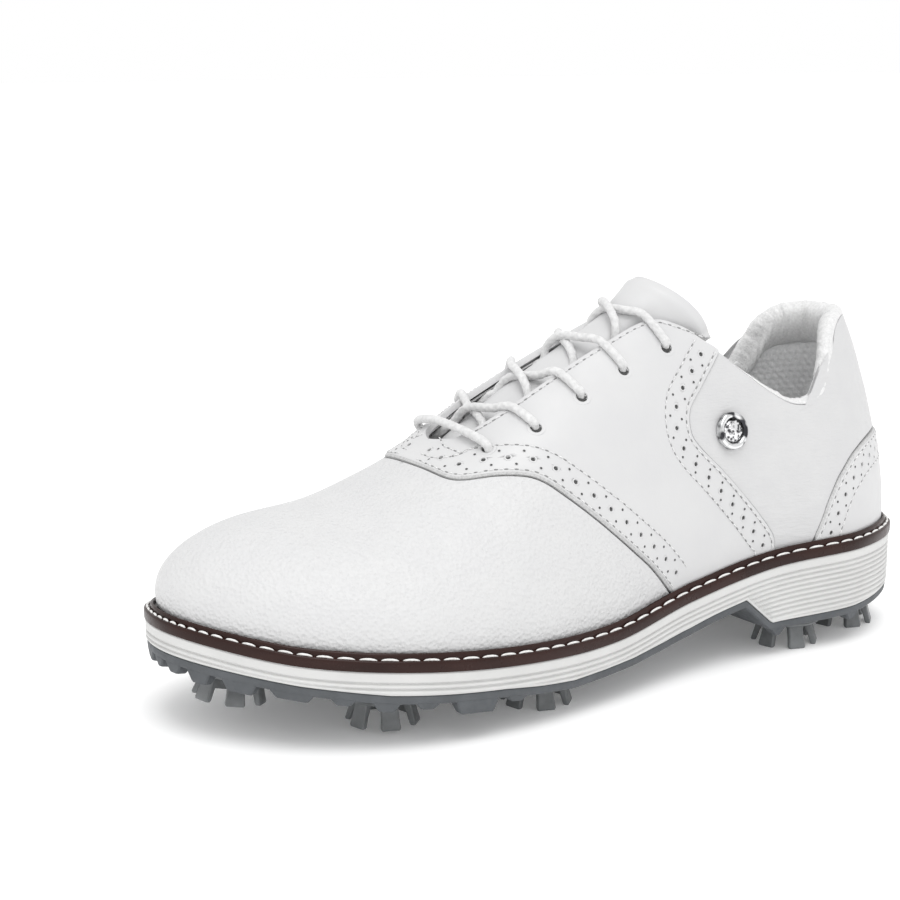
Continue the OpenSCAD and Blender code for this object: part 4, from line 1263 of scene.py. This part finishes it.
def build_outsole():
    """The rubber sheet under the midsole, with edge lugs, nubs and a ring round each cleat."""
    v = around(720)
    edge = ((-6, 0), (-1.3, 0), (-1.0, 0.35), (-0.9, 1.4), (-1.0, 2.4), (-1.5, 2.95),
            (-2.2, 3.0), (-8, 3.0))
    rings = [middle_ring(v, -1.0, midsole_z, -SOLE_JOINT)]
    rings += [level_ring(v, off, midsole_z, -SOLE_JOINT - down) for off, down in edge]
    rings.append(middle_ring(v, -1.0, tread_z))
    parts = [block(rings, capped=False), lug(1, 1.0, 6, 3)]
    parts += [lug(side, *row) for side in (1, -1) for row in LUGS]
    parts += [nub(x, y) for x, y in NUBS]
    parts += [cleat_seat(k) for k in range(len(CLEATS))]
    add_piece("outsole", *joined(parts), ["outsole_rubber"], weld=2e-5, crease=35)


def clipped_box(x0, x1, y0, y1, c):
    """Corners of a rectangle cut off by c, going round."""
    return np.array([(x0 + c, y0), (x1 - c, y0), (x1, y0 + c), (x1, y1 - c),
                     (x1 - c, y1), (x0 + c, y1), (x0, y1 - c), (x0, y0 + c)])


def lug(side, u, wide, high):
    """One trapezium lug at the sole's edge, from its root to its worn tip."""
    v = u * side
    before, p, after = rim(np.array([v - 0.01 * side, v, v + 0.01 * side]), -1.3)
    way = unit(after - before)
    back = np.array([way[1], -way[0]]) * side
    rings = []
    for down, slope in ((-1.0, 0), (0, 0), (0.86 * high, 1.55), (high, 1.95)):
        half = wide / 2 - slope
        near, far = 0.2 * slope, LUG_DEPTH - 0.6 * slope
        x, y = clipped_box(-half, half, near, far, min(0.5, half * 0.4)).T[..., None]
        plan = p + way * x + back * y
        rings.append(np.column_stack([plan, tread_z(plan[:, 0]) - down]))
    return block(rings)


def nub(x, y):
    """A low six-pointed stud on the sole."""
    c, s = circle(12)
    star = np.where(np.arange(12) % 2 == 0, 1, 0.9)[:, None]
    rings = []
    for r, down in ((5.6, -1), (5.4, 0), (3.9, NUB_H * 0.85), (3.4, NUB_H)):
        plan = np.hstack([x + r * star * c, y + r * star * s])
        rings.append(np.column_stack([plan, tread_z(plan[:, 0]) - down]))
    return block(rings)


def placed(part, k):
    """A part made round the origin, moved to the seat of a cleat; +z points into the shoe."""
    x, y, _, tilt = CLEATS[k]
    c, s = math.cos(math.radians(tilt)), math.sin(math.radians(tilt))
    turn = np.array([[c, 0, s], [0, 1, 0], [-s, 0, c]])
    return part[0] @ turn.T + [x, y, TIP_Z[k] + LEG_H + DISC_T], part[1]


def lathe(profile, sides, x=0.0, y=0.0):
    """A solid of revolution about an upright axis through x, y."""
    c, s = circle(sides)
    return block([np.hstack([x + r * c, y + r * s, z + 0 * c]) for r, z in profile])


def cleat_seat(k):
    """A raised ring round one cleat's seat."""
    height = CLEATS[k][2] + 1.5
    return placed(lathe([(10.4, height), (10.4, 0.3), (10.7, 0.05), (11.7, 0.05), (12, 0.35),
                         (12.3, height)], 48), k)


def leg(angle):
    """A flat leg that flares out as it drops, waisted at the root and blunt at the tip."""
    w = LEG_W / 2
    c, s = math.cos(angle), math.sin(angle)
    rings = []
    for z, near, far, half in ((-1.2, 6.4, 9.9, w - 0.1), (-DISC_T, 6.6, 10.1, w - 0.15),
                               (-DISC_T - LEG_H * 0.2, 7.6, 10.4, w - 0.5),
                               (-DISC_T - LEG_H * 0.55, 8.9, 11.2, w - 0.35),
                               (-DISC_T - LEG_H * 0.92, 10.0, 12.15, w),
                               (-DISC_T - LEG_H, 10.3, 12.0, w - 0.25)):
        x, y = clipped_box(near, far, -half, half, 0.4).T
        rings.append(np.column_stack([x * c - y * s, x * s + y * c, np.full(8, z)]))
    return block(rings)


def build_cleats():
    """Disc, stem, splayed legs and three wrench tabs, one piece per cleat."""
    parts = [lathe(CLEAT_DISC, 48), lathe(CLEAT_STEM, 32)]
    parts += [leg(2 * math.pi * i / LEG_COUNT + LEG_TURN) for i in range(LEG_COUNT)]
    parts += [lathe(WRENCH_TAB, 16, 2.6 * math.cos(angle), 2.6 * math.sin(angle))
              for angle in (0, 2 * math.pi / 3, 4 * math.pi / 3)]
    cleat = joined(parts)
    for k in range(len(CLEATS)):
        add_piece("cleat_%d" % (k + 1), *placed(cleat, k), ["cleat_plastic"],
                  body="body_cleat_%d" % (k + 1), weld=0, crease=35)


def build_sockliner():
    """The padded footbed, crowned in the middle and dipped under the heel."""
    u = np.concatenate([[0, 0.004, 0.01], np.linspace(0.02, 0.98, 150), [0.99, 0.996, 1]])
    w = np.linspace(0, 1, 61)[None, :, None]
    off = np.full(len(u), -10.2)
    a, b = outline(LATERAL_GUIDES, 1, u, off), outline(MEDIAL_GUIDES, -1, u, off)
    x, y = np.moveaxis(a[:, None] * (1 - w) + b[:, None] * w, -1, 0)
    crown = arc(border_distance(np.stack([x, y, 0 * x], -1)) / 6)
    dip = 1.1 * np.exp(-((x - HEEL_CENTRE) / 26) ** 2) * np.exp(-(y / 17) ** 2)
    uneven = noise(np.stack([x, y], -1), 18, 91) * 0.1
    top = welt_z(x) + 4.7 + 2.5 * crown - dip + uneven
    points, faces, _ = slab(np.stack([x, y, top], -1), np.stack([x, y, welt_z(x) + 3.9], -1))
    piece = add_piece("sockliner", points, faces, ["lining_textile"], slot="foam", crease=60)


def paint_hidden_nodes():
    """Materials for the CAD pieces that stay as they are."""
    finishes = {"shank": "spring_steel", "insole_board": "fibreboard", "toe_puff": "stiffener",
                "heel_counter": "stiffener", "badge_washer": "spring_steel"}
    finishes.update({"receptacle_%d" % k: "cup_plastic" for k in range(1, 10)})
    for name, paint in finishes.items():
        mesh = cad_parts[name].data
        mesh.materials.clear()
        mesh.materials.append(PAINTS[paint])


# ---- stage, in metres ----

CAMERA_AZ, CAMERA_EL, CAMERA_ROLL = (math.radians(x) for x in (147.03, 12.03, 0.36))
CAMERA_DISTANCE = 0.811
CAMERA_TARGET = Vector((-0.01443, -0.09125, 0.06129))
CAMERA_LENS = 81.4
FLOOR_HALF = 6


def set_camera():
    data = bpy.data.cameras.new("camera")
    data.sensor_width = 36
    data.lens = CAMERA_LENS
    camera = new_object("camera", data)
    back = Vector((math.sin(CAMERA_AZ) * math.cos(CAMERA_EL),
                   -math.cos(CAMERA_AZ) * math.cos(CAMERA_EL), math.sin(CAMERA_EL)))
    camera.location = CAMERA_TARGET + back * CAMERA_DISTANCE
    turn = back.to_track_quat("Z", "Y").to_matrix()
    right, up = turn.col[0].copy(), turn.col[1].copy()
    c, s = math.cos(CAMERA_ROLL), math.sin(CAMERA_ROLL)
    turn.col[0] = right * c + up * s
    turn.col[1] = up * c - right * s
    camera.rotation_euler = turn.to_euler()
    bpy.context.scene.camera = camera


def add_light(name, kind, energy, place, target=(0, 0, 0)):
    """A light that shines from a place towards a target."""
    data = bpy.data.lights.new(name, kind)
    data.energy = energy
    light = new_object(name, data)
    light.location = place
    light.rotation_euler = (Vector(place) - Vector(target)).to_track_quat("Z", "Y").to_euler()
    return data


def set_floor():
    mesh = bpy.data.meshes.new("floor")
    corners = [(x * FLOOR_HALF, y * FLOOR_HALF, 0) for x, y in ((-1, -1), (1, -1), (1, 1), (-1, 1))]
    mesh.from_pydata(corners, [], [(0, 1, 2, 3)])
    new_object("floor", mesh)
    a = Paint("pale_floor", 0.94, 0.8, Emission_Color=(1, 1, 1, 1), Emission_Strength=0.12)
    a.vary(a.noise(400), 0.93)
    mesh.materials.append(a.material)


def set_studio():
    """An even white room, a broad sun from above and a weak key light."""
    world = bpy.data.worlds.new("studio")
    world.use_nodes = True
    background = world.node_tree.nodes["Background"]
    background.inputs["Color"].default_value = (1, 1, 1, 1)
    background.inputs["Strength"].default_value = 1.0
    bpy.context.scene.world = world
    sun = add_light("top", "SUN", 1.1, (0.12, 0.3, 1.0))
    sun.angle = math.radians(38)
    key = add_light("key", "AREA", 2, (0.6, 1.2, 1.3), (0, 0, 0.05))
    key.shape = "DISK"
    key.size = 1.0
    bpy.context.scene.view_settings.view_transform = "Standard"


set_camera()
for build in (build_vamp, build_saddles, build_quarters, build_heel_patch, build_backstay,
              build_collar, build_lining, build_tongue, build_lace, build_badge, build_welt,
              build_welt_stitching, build_midsole, build_outsole, build_cleats,
              build_sockliner, paint_hidden_nodes, set_floor, set_studio):
    build()
